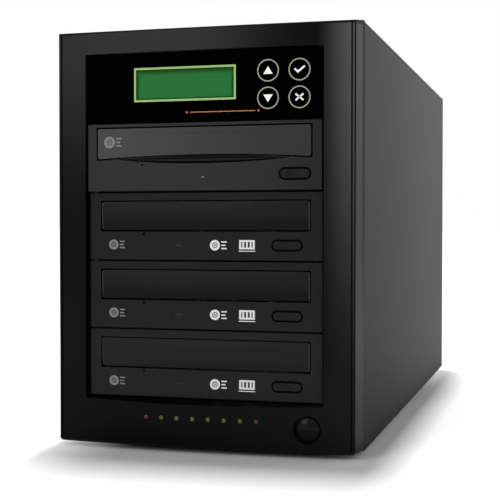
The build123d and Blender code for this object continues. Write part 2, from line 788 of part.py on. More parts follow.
def control_panel():
    """Control panel: face with a display window and key holes, and two arms with ledges for the board."""
    face_y = FACE_Y - READER_PROUD
    z = panel_z()
    z_floor = bay_floor(BAYS - 1)
    panel = block(both(PANEL_W / 2), (face_y, face_y + PANEL_T), z)
    panel = fillet(panel.edges().group_by(Axis.Y)[0], PANEL_EDGE_R)
    through = (face_y - 1, face_y + PANEL_T + 1)
    panel -= block(around(LCD_X, LCD_VIEW_W), through, around(z_floor + LCD_UP, LCD_VIEW_H))
    for x, key_z in key_places().values():
        panel -= rod_y(hole_r(KEY_R + KEY_CLEAR, FINE), x, key_z, through, FINE)
    arm_low = z_floor + CAN_LIFT
    arm_y = (face_y + PANEL_T, CAN_Y + PANEL_ARM_L)
    for side in (-1, 1):
        edge = sorted((side * CAN_W / 2, side * (CAN_W / 2 - PANEL_ARM_T)))
        panel += block(edge, arm_y, (arm_low, arm_low + PANEL_ARM_H))
        ledge = sorted((side * CAN_W / 2, side * (CAN_W / 2 - PANEL_LEDGE_W)))
        ledge_z = (z_floor + PANEL_LEDGE_UP, z_floor + PANEL_LEDGE_UP + PANEL_LEDGE_T)
        panel += block(ledge, (CAN_Y, arm_y[1]), ledge_z)
    hole = 2 * (SCREW_SHANK_R + SCREW_HOLE_CLEAR)
    panel -= block(both(CAN_W), around(CAN_Y + CAN_SCREW_FRONT, hole), around(z_floor + CAN_SCREW_UP, hole))
    for x, post_z in panel_post_places():
        panel += rod_y(PANEL_POST_R, x, post_z, (face_y + PANEL_T / 2, panel_board_y()), TINY)
    return panel


def panel_post_places():
    """Posts behind the control panel that carry the display and key board."""
    z = bay_floor(BAYS - 1)
    x_left = LCD_X - LCD_FRAME_W / 2 - 2 * PANEL_POST_R
    return [(x_left, z + LCD_UP), ((KEY_LEFT_X + KEY_RIGHT_X) / 2, z + (KEY_TOP_UP + KEY_LOW_UP) / 2)]


def panel_board_y():
    """Front face of the display and key board."""
    return FACE_Y - READER_PROUD + PANEL_BOARD_SETBACK


def lcd_module():
    """Display module: glass in a pressed frame on its own board."""
    z = bay_floor(BAYS - 1) + LCD_UP
    front = FACE_Y - READER_PROUD + PANEL_T
    frame = block(around(LCD_X, LCD_FRAME_W), (front, front + LCD_FRAME_T), around(z, LCD_FRAME_H))
    glass = block(around(LCD_X, LCD_VIEW_W - GAP), (front - PANEL_T / 2, front), around(z, LCD_VIEW_H - GAP))
    return frame + glass


def panel_board():
    """Board behind the control panel, with one tact switch block behind each key."""
    y = panel_board_y()
    x = (panel_post_places()[0][0] - PANEL_POST_R, KEY_RIGHT_X + KEY_R)
    z = around(bay_floor(BAYS - 1) + LCD_UP, LCD_FRAME_H + 4 * PANEL_POST_R)
    board = block(x, (y, y + PANEL_BOARD_T), z)
    lcd_back = FACE_Y - READER_PROUD + PANEL_T + LCD_FRAME_T
    spacer_x = around(LCD_X, LCD_FRAME_W - 2 * PANEL_POST_R)
    board += block(spacer_x, (lcd_back, y), around(sum(z) / 2, LCD_FRAME_H / 2))
    for key_x, key_z in key_places().values():
        board += block(around(key_x, TACT_W), (y - TACT_T, y), around(key_z, TACT_W))
    return board


def key(x, z):
    """Round key with a flange behind the panel and a stem towards its switch."""
    face = FACE_Y - READER_PROUD
    flange = (face + PANEL_T + GAP, face + PANEL_T + GAP + KEY_FLANGE_T)
    cap = rod_y(KEY_R, x, z, (face, flange[1]), FINE)
    cap += rod_y(KEY_R + KEY_FLANGE, x, z, flange, TINY)
    stem_end = panel_board_y() - TACT_T - KEY_TRAVEL - GAP
    return cap + rod_y(KEY_STEM_R, x, z, (flange[1], stem_end), TINY)


def controller_board():
    """Duplicating controller on the panel's ledges: board, processor and a row of drive sockets."""
    z = bay_floor(BAYS - 1) + PANEL_LEDGE_UP + PANEL_LEDGE_T
    y = (CAN_Y + PANEL_ARM_L - CONTROLLER_L, CAN_Y + PANEL_ARM_L)
    board = block(both(CONTROLLER_W / 2), y, (z, z + CONTROLLER_T))
    top = z + CONTROLLER_T
    chip = [around(0.0, CHIP_W), around(sum(y) / 2, CHIP_W), (top, top + CHIP_T)]
    board += block(*chip)
    pitch = CONTROLLER_W / SOCKETS
    for i in range(SOCKETS):
        x = (i - (SOCKETS - 1) / 2) * pitch
        board += block(around(x, SOCKET_W), (y[1] - SOCKET_D, y[1]), (top, top + SOCKET_H))
    return board


# Drives

def drive_can(bay):
    """Steel case of one drive, open at the front."""
    z = bay_floor(bay) + CAN_LIFT
    y = (CAN_Y, CAN_Y + CAN_L)
    can = block(both(CAN_W / 2), y, (z, z + CAN_H))
    hollow_z = (z + CAN_WALL, z + CAN_H - CAN_WALL)
    can -= block(both(CAN_W / 2 - CAN_WALL), (y[0] - CAN_WALL, y[1] - CAN_WALL), hollow_z)
    hole_z = bay_floor(bay) + CAN_SCREW_UP
    for hole_y in (CAN_Y + CAN_SCREW_FRONT, CAN_Y + CAN_SCREW_REAR):
        hole = 2 * (SCREW_SHANK_R + SCREW_HOLE_CLEAR)
        can -= block(both(CAN_W), around(hole_y, hole), around(hole_z, hole))
    return can


def door_face(front, bay, grow):
    """Outline of a tray door in X and Z, let out by a distance all round."""
    z = bay_floor(bay)
    half = front.door_w / 2 + grow
    low, high = z + front.door_low - grow, z + front.door_high + grow
    if front.arch == 0:
        return Pos(0, (low + high) / 2) * Rectangle(2 * half, high - low)
    arch = ThreePointArc((-half, low), (0, low + front.arch), (half, low))
    rest = Polyline((half, low), (half, high), (-half, high), (-half, low))
    return make_face([arch, rest])


def drive_bezel(front, bay):
    """Moulded front of one drive with its door opening, button hole and pinhole."""
    face = FACE_Y - front.proud
    z = (bay_floor(bay) + DRIVE_BEZEL_GAP / 2, bay_floor(bay) + BAY_PITCH - DRIVE_BEZEL_GAP / 2)
    bezel = block(both(DRIVE_BEZEL_W / 2), (face, CAN_Y), z)
    bezel = fillet(bezel.edges().group_by(Axis.Y)[0], DRIVE_BEZEL_EDGE_R)
    wall = DRIVE_BEZEL_WALL
    hollow = block(both(DRIVE_BEZEL_W / 2 - wall), (face + wall, CAN_Y + 1), (z[0] + wall, z[1] - wall))
    bezel -= hollow
    through = (face - 1, face + wall + 1)
    bezel -= front_prism(door_face(front, bay, DOOR_GAP), through)
    eject_z = bay_floor(bay) + front.eject_up
    hole = SlotOverall(front.eject_w + 2 * EJECT_CLEAR, front.eject_h + 2 * EJECT_CLEAR)
    bezel -= front_prism(Pos(front.eject_x, eject_z) * hole, through)
    bezel -= rod_y(PINHOLE_R, PINHOLE_X, bay_floor(bay) + PINHOLE_UP, through, TINY)
    if front.arch > 0:
        bezel -= front_prism(scoop_face(front, bay), (face - 1, face + READER_SCOOP_DEPTH))
    return bezel


def scoop_face(front, bay):
    """Lens-shaped finger recess under the reader's door."""
    low = bay_floor(bay) + front.door_low
    half = READER_SCOOP_W / 2
    top = ThreePointArc((-half, low), (0, low + front.arch), (half, low))
    under = ThreePointArc((half, low), (0, low - READER_SCOOP_FALL), (-half, low))
    return make_face([top, under])


def tray_door(front, bay):
    """Front of the tray: flat above, raked back below on a writer, arched below on the reader."""
    face = FACE_Y - front.proud
    door = front_prism(door_face(front, bay, 0.0), (face, TRAY_Y))
    uprights = door.edges().filter_by(Axis.Y)
    door = fillet(uprights, DOOR_CORNER_R)
    if front.arch == 0:
        z = bay_floor(bay)
        break_z, low = z + WRITER_DOOR_BREAK, z + front.door_low
        run = (break_z - low) / WRITER_DOOR_RAKE
        foot_y = face + WRITER_DOOR_RAKE + 1 / run
        rake = [(face, break_z), (foot_y, low - 1), (face - 1, low - 1), (face - 1, break_z)]
        door -= side_prism(rake, both(CAN_W))
    return door


def eject_button(front, bay):
    """Eject button: slot-shaped cap, flange behind the bezel and stem."""
    face = FACE_Y - front.proud
    z = bay_floor(bay) + front.eject_up
    back = face + DRIVE_BEZEL_WALL + GAP
    place = Pos(front.eject_x, z)
    cap = front_prism(place * SlotOverall(front.eject_w, front.eject_h), (face - EJECT_PROUD, back))
    dish_y = face - EJECT_PROUD + EJECT_DISH - EJECT_DISH_R
    dish = rod_z(EJECT_DISH_R, front.eject_x, dish_y, around(z, 2 * front.eject_h))
    cap -= dish
    flange_w, flange_h = front.eject_w + 2 * EJECT_FLANGE, front.eject_h + 2 * EJECT_FLANGE
    cap += front_prism(place * Rectangle(flange_w, flange_h), (back, back + EJECT_FLANGE))
    stem_end = CAN_Y + FRAME_SETBACK - EJECT_TRAVEL - GAP
    stem = (around(front.eject_x, EJECT_STEM_W), (back + EJECT_FLANGE, stem_end), around(z, EJECT_STEM_H))
    return cap + block(*stem)


def rack_bar(bay):
    """Straight rack along the underside of a tray, teeth towards its pinion."""
    z = (bay_floor(bay) + TRAY_LOW - RACK_H, bay_floor(bay) + TRAY_LOW)
    pitch = pi * GEAR_MODULE
    half_pitch_line = (pitch / 2 - BACKLASH) / 2
    slope = tan(radians(PRESSURE_ANGLE))
    root_x, tip_x = RACK_PITCH_X - DEDENDUM, RACK_PITCH_X + RACK_ADDENDUM
    root_half = half_pitch_line + DEDENDUM * slope
    tip_half = half_pitch_line - RACK_ADDENDUM * slope
    first = CAN_Y + PINION_Y - pitch
    count = int((TRAY_TRAVEL + 2 * pitch) / pitch) + 1
    outline = [(root_x - RACK_BACK, first - pitch / 2), (root_x, first - pitch / 2)]
    for i in range(count):
        y = first + i * pitch
        outline += [(root_x, y - root_half), (tip_x, y - tip_half)]
        outline += [(tip_x, y + tip_half), (root_x, y + root_half)]
    last = first + (count - 0.5) * pitch
    outline += [(root_x, last), (root_x - RACK_BACK, last)]
    return Pos(0, 0, z[0]) * extrude(make_face(Polyline(*outline, close=True)), z[1] - z[0])


def tray(bay):
    """Disc tray: stepped wells, centre slot, thumb notch, rack and a guide rib."""
    z = bay_floor(bay) + TRAY_LOW
    top = z + TRAY_T
    y = (TRAY_Y, TRAY_Y + TRAY_L)
    disc_y = TRAY_Y + DISC_SETBACK
    body = block(both(TRAY_W / 2), y, (z, top))
    body -= rod_z(hole_r(DISC_R + DISC_PLAY, 2 * FINE), 0, disc_y, (top - DISC_WELL, top + 1), 2 * FINE)
    small_floor = top - DISC_WELL - SMALL_DISC_WELL
    body -= rod_z(hole_r(SMALL_DISC_R + DISC_PLAY, FINE), 0, disc_y, (small_floor, top + 1), FINE)
    slot_half = TRAY_SLOT_W / 2
    body -= rod_z(slot_half, 0, disc_y, (z - 1, top + 1), FINE)
    body -= block(both(slot_half), (disc_y, y[1] - TRAY_BRIDGE), (z - 1, top + 1))
    for side in (-1, 1):
        body -= rod_z(TRAY_NOTCH_R, side * TRAY_W / 2, disc_y, (small_floor, top + 1), SMALL)
    body += rack_bar(bay)
    body += block(around(TRAY_RIB_X, TRAY_RIB_W), (y[0], y[1]), (z - RACK_H, z))
    return body


def pinion_outline():
    """Closed outline of the pinion, its flanks following an involute."""
    base_r = PITCH_R * cos(radians(PRESSURE_ANGLE))
    tip_r, root_r = PITCH_R + PINION_ADDENDUM, PITCH_R - DEDENDUM + RACK_ADDENDUM / 4
    thickness = pi * GEAR_MODULE / 2 - BACKLASH

    def involute(radius):
        angle = acos(base_r / radius)
        return tan(angle) - angle

    def half_angle(radius):
        return thickness / (2 * PITCH_R) + involute(PITCH_R) - involute(max(radius, base_r))

    radii = [root_r, PITCH_R, tip_r]
    points = []
    step = 2 * pi / PINION_TEETH
    for i in range(PINION_TEETH):
        middle = (i + 0.5) * step
        left = [(r, middle - half_angle(r)) for r in radii]
        right = [(r, middle + half_angle(r)) for r in reversed(radii)]
        points += [(r * cos(a), r * sin(a)) for r, a in left + right]
    return make_face(Polyline(*points, close=True))


def pinion_z(bay):
    """Lowest and highest level of a pinion, beside its rack."""
    middle = bay_floor(bay) + TRAY_LOW - RACK_H / 2
    return around(middle, PINION_T)


def tray_pinion(bay):
    """Pinion that drives the tray's rack, bored for its pin."""
    z = pinion_z(bay)
    x, y = RACK_PITCH_X + PITCH_R, CAN_Y + PINION_Y
    gear = Pos(x, y, z[0]) * extrude(pinion_outline(), PINION_T)
    return gear - rod_z(PINION_PIN_R + RUNNING_FIT, x, y, (z[0] - 1, z[1] + 1))


def rail_section(bay, side):
    """Section of one tray rail in X and Z."""
    z = bay_floor(bay)
    groove_x = side * (TRAY_W / 2 + GAP)
    lip_x = side * (TRAY_W / 2 + GAP - RAIL_LIP)
    back_x = side * (TRAY_W / 2 + GAP + RAIL_T)
    floor = z + CAN_LIFT + CAN_WALL
    groove_low, groove_high = z + TRAY_LOW - GAP, z + TRAY_LOW + TRAY_T + GAP
    return [
        (groove_x, floor), (back_x, floor),
        (back_x, groove_high + RAIL_LIP_T), (lip_x, groove_high + RAIL_LIP_T),
        (lip_x, groove_high), (groove_x, groove_high), (groove_x, groove_low), (lip_x, groove_low),
        (lip_x, groove_low - RAIL_LIP_T), (groove_x, groove_low - RAIL_LIP_T),
    ]


def loader_frame(bay):
    """Moulded loader frame: floor, tray rails, pinion pin and bosses for the optical deck."""
    floor = bay_floor(bay) + CAN_LIFT + CAN_WALL
    y = (CAN_Y + FRAME_SETBACK, CAN_Y + FRAME_SETBACK + FRAME_L)
    frame = block(both(CAN_W / 2 - CAN_WALL), y, (floor, floor + FRAME_T))
    x_half = DECK_W / 2 - DECK_BOSS_INSET - 2 * DECK_BOSS_R
    y_mid = deck_y()
    frame -= block(both(x_half), (y_mid[0], y_mid[1]), (floor - 1, floor + FRAME_T + 1))
    for side in (-1, 1):
        frame += section_prism(rail_section(bay, side), y)
    gear_z = pinion_z(bay)
    x, gear_y = RACK_PITCH_X + PITCH_R, CAN_Y + PINION_Y
    frame += rod_z(PINION_BOSS_R, x, gear_y, (floor, gear_z[0] - GAP), TINY)
    frame += rod_z(PINION_PIN_R, x, gear_y, (floor, gear_z[1]), TINY)
    deck_low = bay_floor(bay) + DECK_LIFT
    for boss_x, boss_y in deck_bosses():
        frame += block(around(boss_x, 2 * DECK_BOSS_R), around(boss_y, 2 * DECK_BOSS_R), (floor, deck_low))
    return frame


def deck_y():
    """Front and rear edge of the optical deck."""
    front = TRAY_Y + DISC_SETBACK - MOTOR_R - DECK_BOSS_INSET
    return (front, front + DECK_L)


def deck_bosses():
    """Centres of the four bosses under the optical deck."""
    x = DECK_W / 2 - DECK_BOSS_INSET
    y = deck_y()
    return [(side * x, edge) for side in (-1, 1) for edge in (y[0] + DECK_BOSS_INSET, y[1] - DECK_BOSS_INSET)]


def optical_deck(bay):
    """Optical deck: plate with a window, spindle motor, end blocks and two guide rods."""
    z = bay_floor(bay) + DECK_LIFT
    y = deck_y()
    disc_y = TRAY_Y + DISC_SETBACK
    top = z + DECK_T
    deck = block(both(DECK_W / 2), y, (z, top))
    window_y = (disc_y + MOTOR_R + 2, disc_y + MOTOR_R + 2 + DECK_WINDOW_L)
    deck -= block(both(DECK_WINDOW_W / 2), window_y, (z - 1, top + 1))
    deck += rod_z(MOTOR_R, 0, disc_y, (top, top + MOTOR_H), SMALL)
    rod_zs = top + GUIDE_ROD_UP
    rod_span = guide_rod_y()
    for side in (-1, 1):
        x = side * GUIDE_ROD_X
        for end in rod_span:
            deck += block(around(x, GUIDE_END_W), around(end, GUIDE_END_T), (top, rod_zs + GUIDE_ROD_R + 1))
        deck += rod_y(GUIDE_ROD_R, x, rod_zs, rod_span, TINY)
    deck -= rod_z(hole_r(SPINDLE_R + RUNNING_FIT, TINY), 0, disc_y, (z - 1, top + MOTOR_H + 1), TINY)
    return deck


def guide_rod_y():
    """Middle of the end blocks that hold the guide rods."""
    first = TRAY_Y + DISC_SETBACK + MOTOR_R / 2
    return (first, first + SLED_L + SLED_TRAVEL + GUIDE_END_T + 4 * GAP)


def turntable(bay):
    """Turntable: flange, centring hub and the spindle down into its motor."""
    top = bay_floor(bay) + DECK_LIFT + DECK_T + MOTOR_H
    y = TRAY_Y + DISC_SETBACK
    hub_z = top + GAP + TURNTABLE_T
    table = rod_z(TURNTABLE_R, 0, y, (top + GAP, hub_z), FINE)
    lean = degrees(atan2(TURNTABLE_HUB_TAPER, TURNTABLE_HUB_H))
    table += Pos(0, y, hub_z) * extrude(RegularPolygon(TURNTABLE_HUB_R, SMALL), TURNTABLE_HUB_H, taper=lean)
    return table + rod_z(SPINDLE_R, 0, y, (top - MOTOR_H, hub_z))


def laser_sled(bay):
    """Laser sled: block bored for both guide rods, with its lens on top."""
    mid_z = bay_floor(bay) + DECK_LIFT + DECK_T + GUIDE_ROD_UP
    first = guide_rod_y()[0] + GUIDE_END_T / 2 + GAP
    y = (first, first + SLED_L)
    sled = block(both(SLED_W / 2), y, around(mid_z, SLED_H))
    sled -= block(both(TURNTABLE_R + GAP), (y[0] - 1, table_clear_y()), around(mid_z, 2 * SLED_H))
    bore = hole_r(GUIDE_ROD_R + RUNNING_FIT, TINY)
    for side in (-1, 1):
        sled -= rod_y(bore, side * GUIDE_ROD_X, mid_z, (y[0] - 1, y[1] + 1), TINY)
    lens_y = (table_clear_y() + y[1]) / 2
    lens = rod_z(LENS_R, 0, lens_y, (mid_z, mid_z + SLED_H / 2 + LENS_H), SMALL)
    return sled + lens


def table_clear_y():
    """Nearest that the sled's middle may come to the turntable."""
    return TRAY_Y + DISC_SETBACK + TURNTABLE_R + GAP


# Power supply, fans and mains entry

def fan_y(rear):
    """Front and rear of a fan whose frame is screwed to a wall."""
    return (rear - FAN_DEPTH, rear)


def fan_frame(x, z, rear):
    """Square fan frame with its bore, struts and motor plate at the front."""
    y = fan_y(rear)
    frame = block(around(x, FAN_SIZE), y, around(z, FAN_SIZE))
    frame = chamfer(frame.edges().filter_by(Axis.Y), FAN_CORNER)
    frame -= rod_y(hole_r(FAN_BORE_R, 2 * FINE), x, z, (y[0] - 1, y[1] + 1), 2 * FINE)
    plate = (y[0], y[0] + FAN_MOTOR_T)
    frame += rod_y(FAN_HUB_R, x, z, plate, FINE)
    for i in range(FAN_STRUTS // 2):
        turn = Pos(x, sum(plate) / 2, z) * Rot(0, 45 + i * 90, 0)
        frame += turn * Box(2 * FAN_BORE_R + 2, FAN_MOTOR_T, FAN_STRUT_W)
    step = fan_screw_offset()
    for sx in (-1, 1):
        for sz in (-1, 1):
            frame -= screw_hole(SCREW_SHANK_R, x + sx * step, z + sz * step, (y[1] - SCREW_SHANK_L, y[1] + 1))
    frame -= rod_y(hole_r(FAN_AXLE_R + RUNNING_FIT, TINY), x, z, (y[0] + 1, y[1]), TINY)
    return frame


def fan_blade():
    """One blade along +X, folded along its middle for camber, its chord along Y before it is pitched."""
    half = FAN_BLADE_CHORD / 2
    low = FAN_BLADE_CAMBER - FAN_BLADE_T
    section = make_face(Polyline((-half, 0), (0, FAN_BLADE_CAMBER), (half, 0), (0, low), close=True))
    root = FAN_HUB_R - FAN_BLADE_T
    return Pos(root, 0, 0) * extrude(Plane.YZ * section, FAN_BLADE_REACH - root)


def fan_rotor(x, z, rear):
    """Fan rotor: hub with its axle and cambered blades, turning about Y."""
    y = fan_y(rear)
    hub_y = (y[0] + FAN_MOTOR_T + FAN_HUB_CLEAR, y[1] - FAN_HUB_CLEAR)
    hub = round_bar(FAN_HUB_R, hub_y[1] - hub_y[0], 3 * FAN_BLADES)
    blade = Rot(FAN_BLADE_PITCH, 0, 0) * fan_blade()
    for i in range(FAN_BLADES):
        hub += Rot(0, 0, i * 360 / FAN_BLADES) * blade
    rotor = Pos(x, sum(hub_y) / 2, z) * Rot(90, 0, 0) * hub
    return rotor + rod_y(FAN_AXLE_R, x, z, (y[0] + 1 + GAP, hub_y[1]))


def psu_mid_z():
    """Height of the middle of the power supply."""
    return FLOOR_Z + PSU_H / 2


def psu_case():
    """Power supply case with its fan slots, intake slots and mains cut-outs."""
    y = (PSU_REAR_Y - PSU_D, PSU_REAR_Y)
    z = (FLOOR_Z, FLOOR_Z + PSU_H)
    wall = PSU_WALL
    case = block(both(PSU_W / 2), y, z)
    case -= block(both(PSU_W / 2 - wall), (y[0] + wall, y[1] - wall), (z[0] + wall, z[1] - wall))
    rear_through = (y[1] - 2 * wall, y[1] + wall)
    case -= grille_slots(PSU_FAN_X, psu_mid_z(), rear_through)
    bodies = ((INLET_BODY_W, INLET_BODY_H, inlet_z()), (ROCKER_BODY_W, ROCKER_BODY_H, rocker_z()))
    for width, height, middle in bodies:
        cut_x = around(INLET_X, width + 2 * INLET_CLEAR)
        case -= block(cut_x, rear_through, around(middle, height + 2 * INLET_CLEAR))
    intake_y = (y[0] - wall, y[0] + 2 * wall)
    for i in range(PSU_INTAKES):
        x = (i - (PSU_INTAKES - 1) / 2) * PSU_INTAKE_PITCH
        case -= block(around(x, PSU_INTAKE_W), intake_y, around(psu_mid_z(), PSU_INTAKE_H))
    for x, screw_z in psu_screw_places():
        case -= screw_hole(SCREW_SHANK_R, x, screw_z, rear_through)
    return case


def inlet_z():
    """Height of the middle of the mains inlet."""
    return psu_mid_z() - INLET_DROP


def rocker_z():
    """Height of the rocker's pivot."""
    return psu_mid_z() + ROCKER_RISE


def mains_inlet():
    """Mains inlet: flange and body round a cavity with two cut corners."""
    z = inlet_z()
    face = PSU_REAR_Y + INLET_FLANGE_T
    body = block(around(INLET_X, INLET_FLANGE_W), (PSU_REAR_Y, face), around(z, INLET_FLANGE_H))
    body += block(around(INLET_X, INLET_BODY_W), (face - INLET_BODY_D, face), around(z, INLET_BODY_H))
    half_w, half_h, cut = INLET_CAVITY_W / 2, INLET_CAVITY_H / 2, INLET_CUT_CORNER
    outline = [
        (INLET_X - half_w, z - half_h), (INLET_X + half_w, z - half_h), (INLET_X + half_w, z + half_h - cut),
        (INLET_X + half_w - cut, z + half_h), (INLET_X - half_w + cut, z + half_h),
        (INLET_X - half_w, z + half_h - cut),
    ]
    return body - section_prism(outline, (face - INLET_CAVITY_D, face + 1))


def inlet_pins():
    """Three flat contact pins in the inlet."""
    z = inlet_z()
    face = PSU_REAR_Y + INLET_FLANGE_T
    y = (face - INLET_CAVITY_D, face - INLET_CAVITY_D + PIN_L)
    spots = [(-PIN_PITCH / 2, -PIN_RISE / 2), (0.0, PIN_RISE / 2), (PIN_PITCH / 2, -PIN_RISE / 2)]
    return [block(around(INLET_X + dx, PIN_W), y, around(z + dz, PIN_H)) for dx, dz in spots]


def rocker_housing():
    """Housing of the mains switch, bored for the rocker's round body and its pins."""
    z = rocker_z()
    face = PSU_REAR_Y + INLET_FLANGE_T
    body = block(around(INLET_X, ROCKER_FLANGE_W), (PSU_REAR_Y, face), around(z, ROCKER_FLANGE_H))
    body += block(around(INLET_X, ROCKER_BODY_W), (face - ROCKER_BODY_D, face), around(z, ROCKER_BODY_H))
    pivot_y = face - ROCKER_PIVOT_IN
    body -= rod_x(ROCKER_R + ROCKER_CLEAR, pivot_y, z, around(INLET_X, ROCKER_W + 2 * ROCKER_CLEAR))
    pin_span = ROCKER_W + 2 * (ROCKER_PIN_L + ROCKER_CLEAR)
    return body - rod_x(hole_r(ROCKER_PIN_R + RUNNING_FIT, TINY), pivot_y, z, around(INLET_X, pin_span), TINY)


def rocker_switch():
    """Rocker: round body cut to a shallow V, with a pivot pin at each end, at its off position."""
    z = rocker_z()
    pivot_y = PSU_REAR_Y + INLET_FLANGE_T - ROCKER_PIVOT_IN
    body = Rot(0, 90, 0) * Cylinder(ROCKER_R, ROCKER_W)
    for lean in (-ROCKER_TILT, ROCKER_TILT):
        beyond = Box(2 * ROCKER_W, 2 * ROCKER_R, 4 * ROCKER_R)
        body -= Rot(lean, 0, 0) * Pos(0, ROCKER_FACE_OUT + ROCKER_R, 0) * beyond
    body += Rot(0, 90, 0) * round_bar(ROCKER_PIN_R, ROCKER_W + 2 * ROCKER_PIN_L, TINY)
    return Pos(INLET_X, pivot_y, z) * Rot(-ROCKER_TILT, 0, 0) * body


# Every node and what it holds

def all_nodes():
    """Each node's name with its one solid, or its list of solids."""
    leds = {x: status_led(x) for x in led_places()}
    ends = (min(leds), max(leds))
    exhaust = (0.0, EXHAUST_UP, PSU_REAR_Y)
    psu_fan = (PSU_FAN_X, psu_mid_z(), PSU_REAR_Y - PSU_WALL)
    nodes = {
        "feet": feet(),
        "chassis_base": chassis_base(),
        "front_plate": front_plate(),
        "rear_panel": rear_panel(),
        "drive_cage": drive_cage(),
        "cover": cover(),
        "thumb_screws": thumb_screws(),
        "case_screws": case_screws(),
        "front_bezel": front_bezel(),
        "led_board": led_board(),
        "status_leds_red": [leds[x] for x in ends],
        "status_leds_green": [led for x, led in leds.items() if x not in ends],
        "power_button": power_button(),
        "power_switch": power_switch(),
        "control_panel": control_panel(),
        "lcd_module": lcd_module(),
        "panel_board": panel_board(),
        "controller_board": controller_board(),
        "drive_cases": [drive_can(bay) for _, _, bay in DRIVES],
        "loader_frames": [loader_frame(bay) for _, _, bay in DRIVES],
        "optical_decks": [optical_deck(bay) for _, _, bay in DRIVES],
        "psu_case": psu_case(),
        "fan_frames": [fan_frame(*exhaust), fan_frame(*psu_fan)],
        "exhaust_fan_rotor": fan_rotor(*exhaust),
        "psu_fan_rotor": fan_rotor(*psu_fan),
        "mains_entry": [mains_inlet(), rocker_housing()],
        "inlet_pins": inlet_pins(),
        "rocker_switch": rocker_switch(),
    }
    for name, place in key_places().items():
        nodes[name] = key(*place)
    for name, front, bay in DRIVES:
        nodes[f"{name}_bezel"] = drive_bezel(front, bay)
        nodes[f"{name}_tray_door"] = tray_door(front, bay)
        nodes[f"{name}_tray"] = tray(bay)
        nodes[f"{name}_eject_button"] = eject_button(front, bay)
        nodes[f"{name}_tray_pinion"] = tray_pinion(bay)
        nodes[f"{name}_turntable"] = turntable(bay)
        nodes[f"{name}_laser_sled"] = laser_sled(bay)
    return nodes


def write_nodes(nodes):
    """Write one file for each node."""
    os.makedirs("parts", exist_ok=True)
    for name, shape in nodes.items():
        solids = shape if isinstance(shape, list) else [shape]
        whole = Compound(children=[s for item in solids for s in item.solids()])
        whole.label = name
        export_step(whole, f"parts/{name}.step")


write_nodes(all_nodes())
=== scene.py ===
"""Looks of a free-standing disc duplicator tower.

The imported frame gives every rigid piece. This script gives each one its finish, adds the small pieces that
only show, and sets the lamps, the floor and the camera. Lengths are in metres, +Z is up and the front
faces -Y.
"""

from __future__ import annotations

import logging
import math
from dataclasses import dataclass, field
from enum import Enum
from typing import Any, Callable, Iterable, Sequence

import bpy
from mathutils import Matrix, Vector

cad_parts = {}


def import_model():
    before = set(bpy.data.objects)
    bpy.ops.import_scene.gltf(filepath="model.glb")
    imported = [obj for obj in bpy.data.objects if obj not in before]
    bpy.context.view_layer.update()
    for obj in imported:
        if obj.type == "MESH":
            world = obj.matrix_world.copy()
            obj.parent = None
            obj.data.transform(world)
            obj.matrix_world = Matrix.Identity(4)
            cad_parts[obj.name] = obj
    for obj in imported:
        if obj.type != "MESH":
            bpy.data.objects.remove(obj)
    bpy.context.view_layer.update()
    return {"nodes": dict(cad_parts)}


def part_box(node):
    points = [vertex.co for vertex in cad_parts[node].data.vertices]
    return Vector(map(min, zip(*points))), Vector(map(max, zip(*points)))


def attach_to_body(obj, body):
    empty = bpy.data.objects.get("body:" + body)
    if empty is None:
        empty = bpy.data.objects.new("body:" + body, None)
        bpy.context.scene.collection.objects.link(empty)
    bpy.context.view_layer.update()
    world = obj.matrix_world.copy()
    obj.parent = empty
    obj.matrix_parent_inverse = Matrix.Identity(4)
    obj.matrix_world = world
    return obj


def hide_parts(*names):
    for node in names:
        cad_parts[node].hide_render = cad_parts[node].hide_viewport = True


LOG = logging.getLogger("tower")

Point = tuple[float, float, float]
Colour = tuple[float, float, float]
Place = tuple[float, float]  # X and Z
Span = tuple[float, float]  # two values of one measure, or a width and a height
Outline = list[Place]
Loop = list[int]  # numbers of the points round a face

MM = 0.001
CHASSIS = "chassis"

# Planes of the frame that the added pieces sit on, along Y
FRONT_Y = -229.15 * MM  # middle of the bezel's bowed face
PANEL_Y = -224.65 * MM  # control panel and reader's front
FACE_Y = -221.85 * MM  # writers' fronts
JOINT_Y = -210.85 * MM  # the bezel's rear edge, against the cover
REAR_Y = 224.15 * MM

# Places on the front, along X and Z
BOW = 4.9 * MM
BEZEL_HALF = 94.0 * MM
GROOVE_X = 92.0 * MM
CORNER_X = 93.9 * MM
BEZEL_RIM_Z = 257.2 * MM
FIRST_BAY_Z = 32.55 * MM
BAY_PITCH = 42.3 * MM
PANEL_BAY = 4
READER_BAY = 3
WRITER_BAYS = (2, 1, 0)

# Fine textures of the finishes: cycles in each metre, and layers of finer noise
MOTTLE_SCALE = 14.0
WEAR_SCALE = 22.0
CLOUD_LAYERS = 4.0
GRAIN_LAYERS = 3.0

SHARP_DEGREES = 32


def bay_floor(bay: int) -> float:
    """Height of the line below a bay."""
    return FIRST_BAY_Z + bay * BAY_PITCH


def front_y(x: float) -> float:
    """Where the bowed face of the front bezel lies at a distance from its middle."""
    radius = (BEZEL_HALF**2 + BOW**2) / (2 * BOW)
    return FRONT_Y + radius - math.sqrt(radius**2 - x**2)


# Shader maths


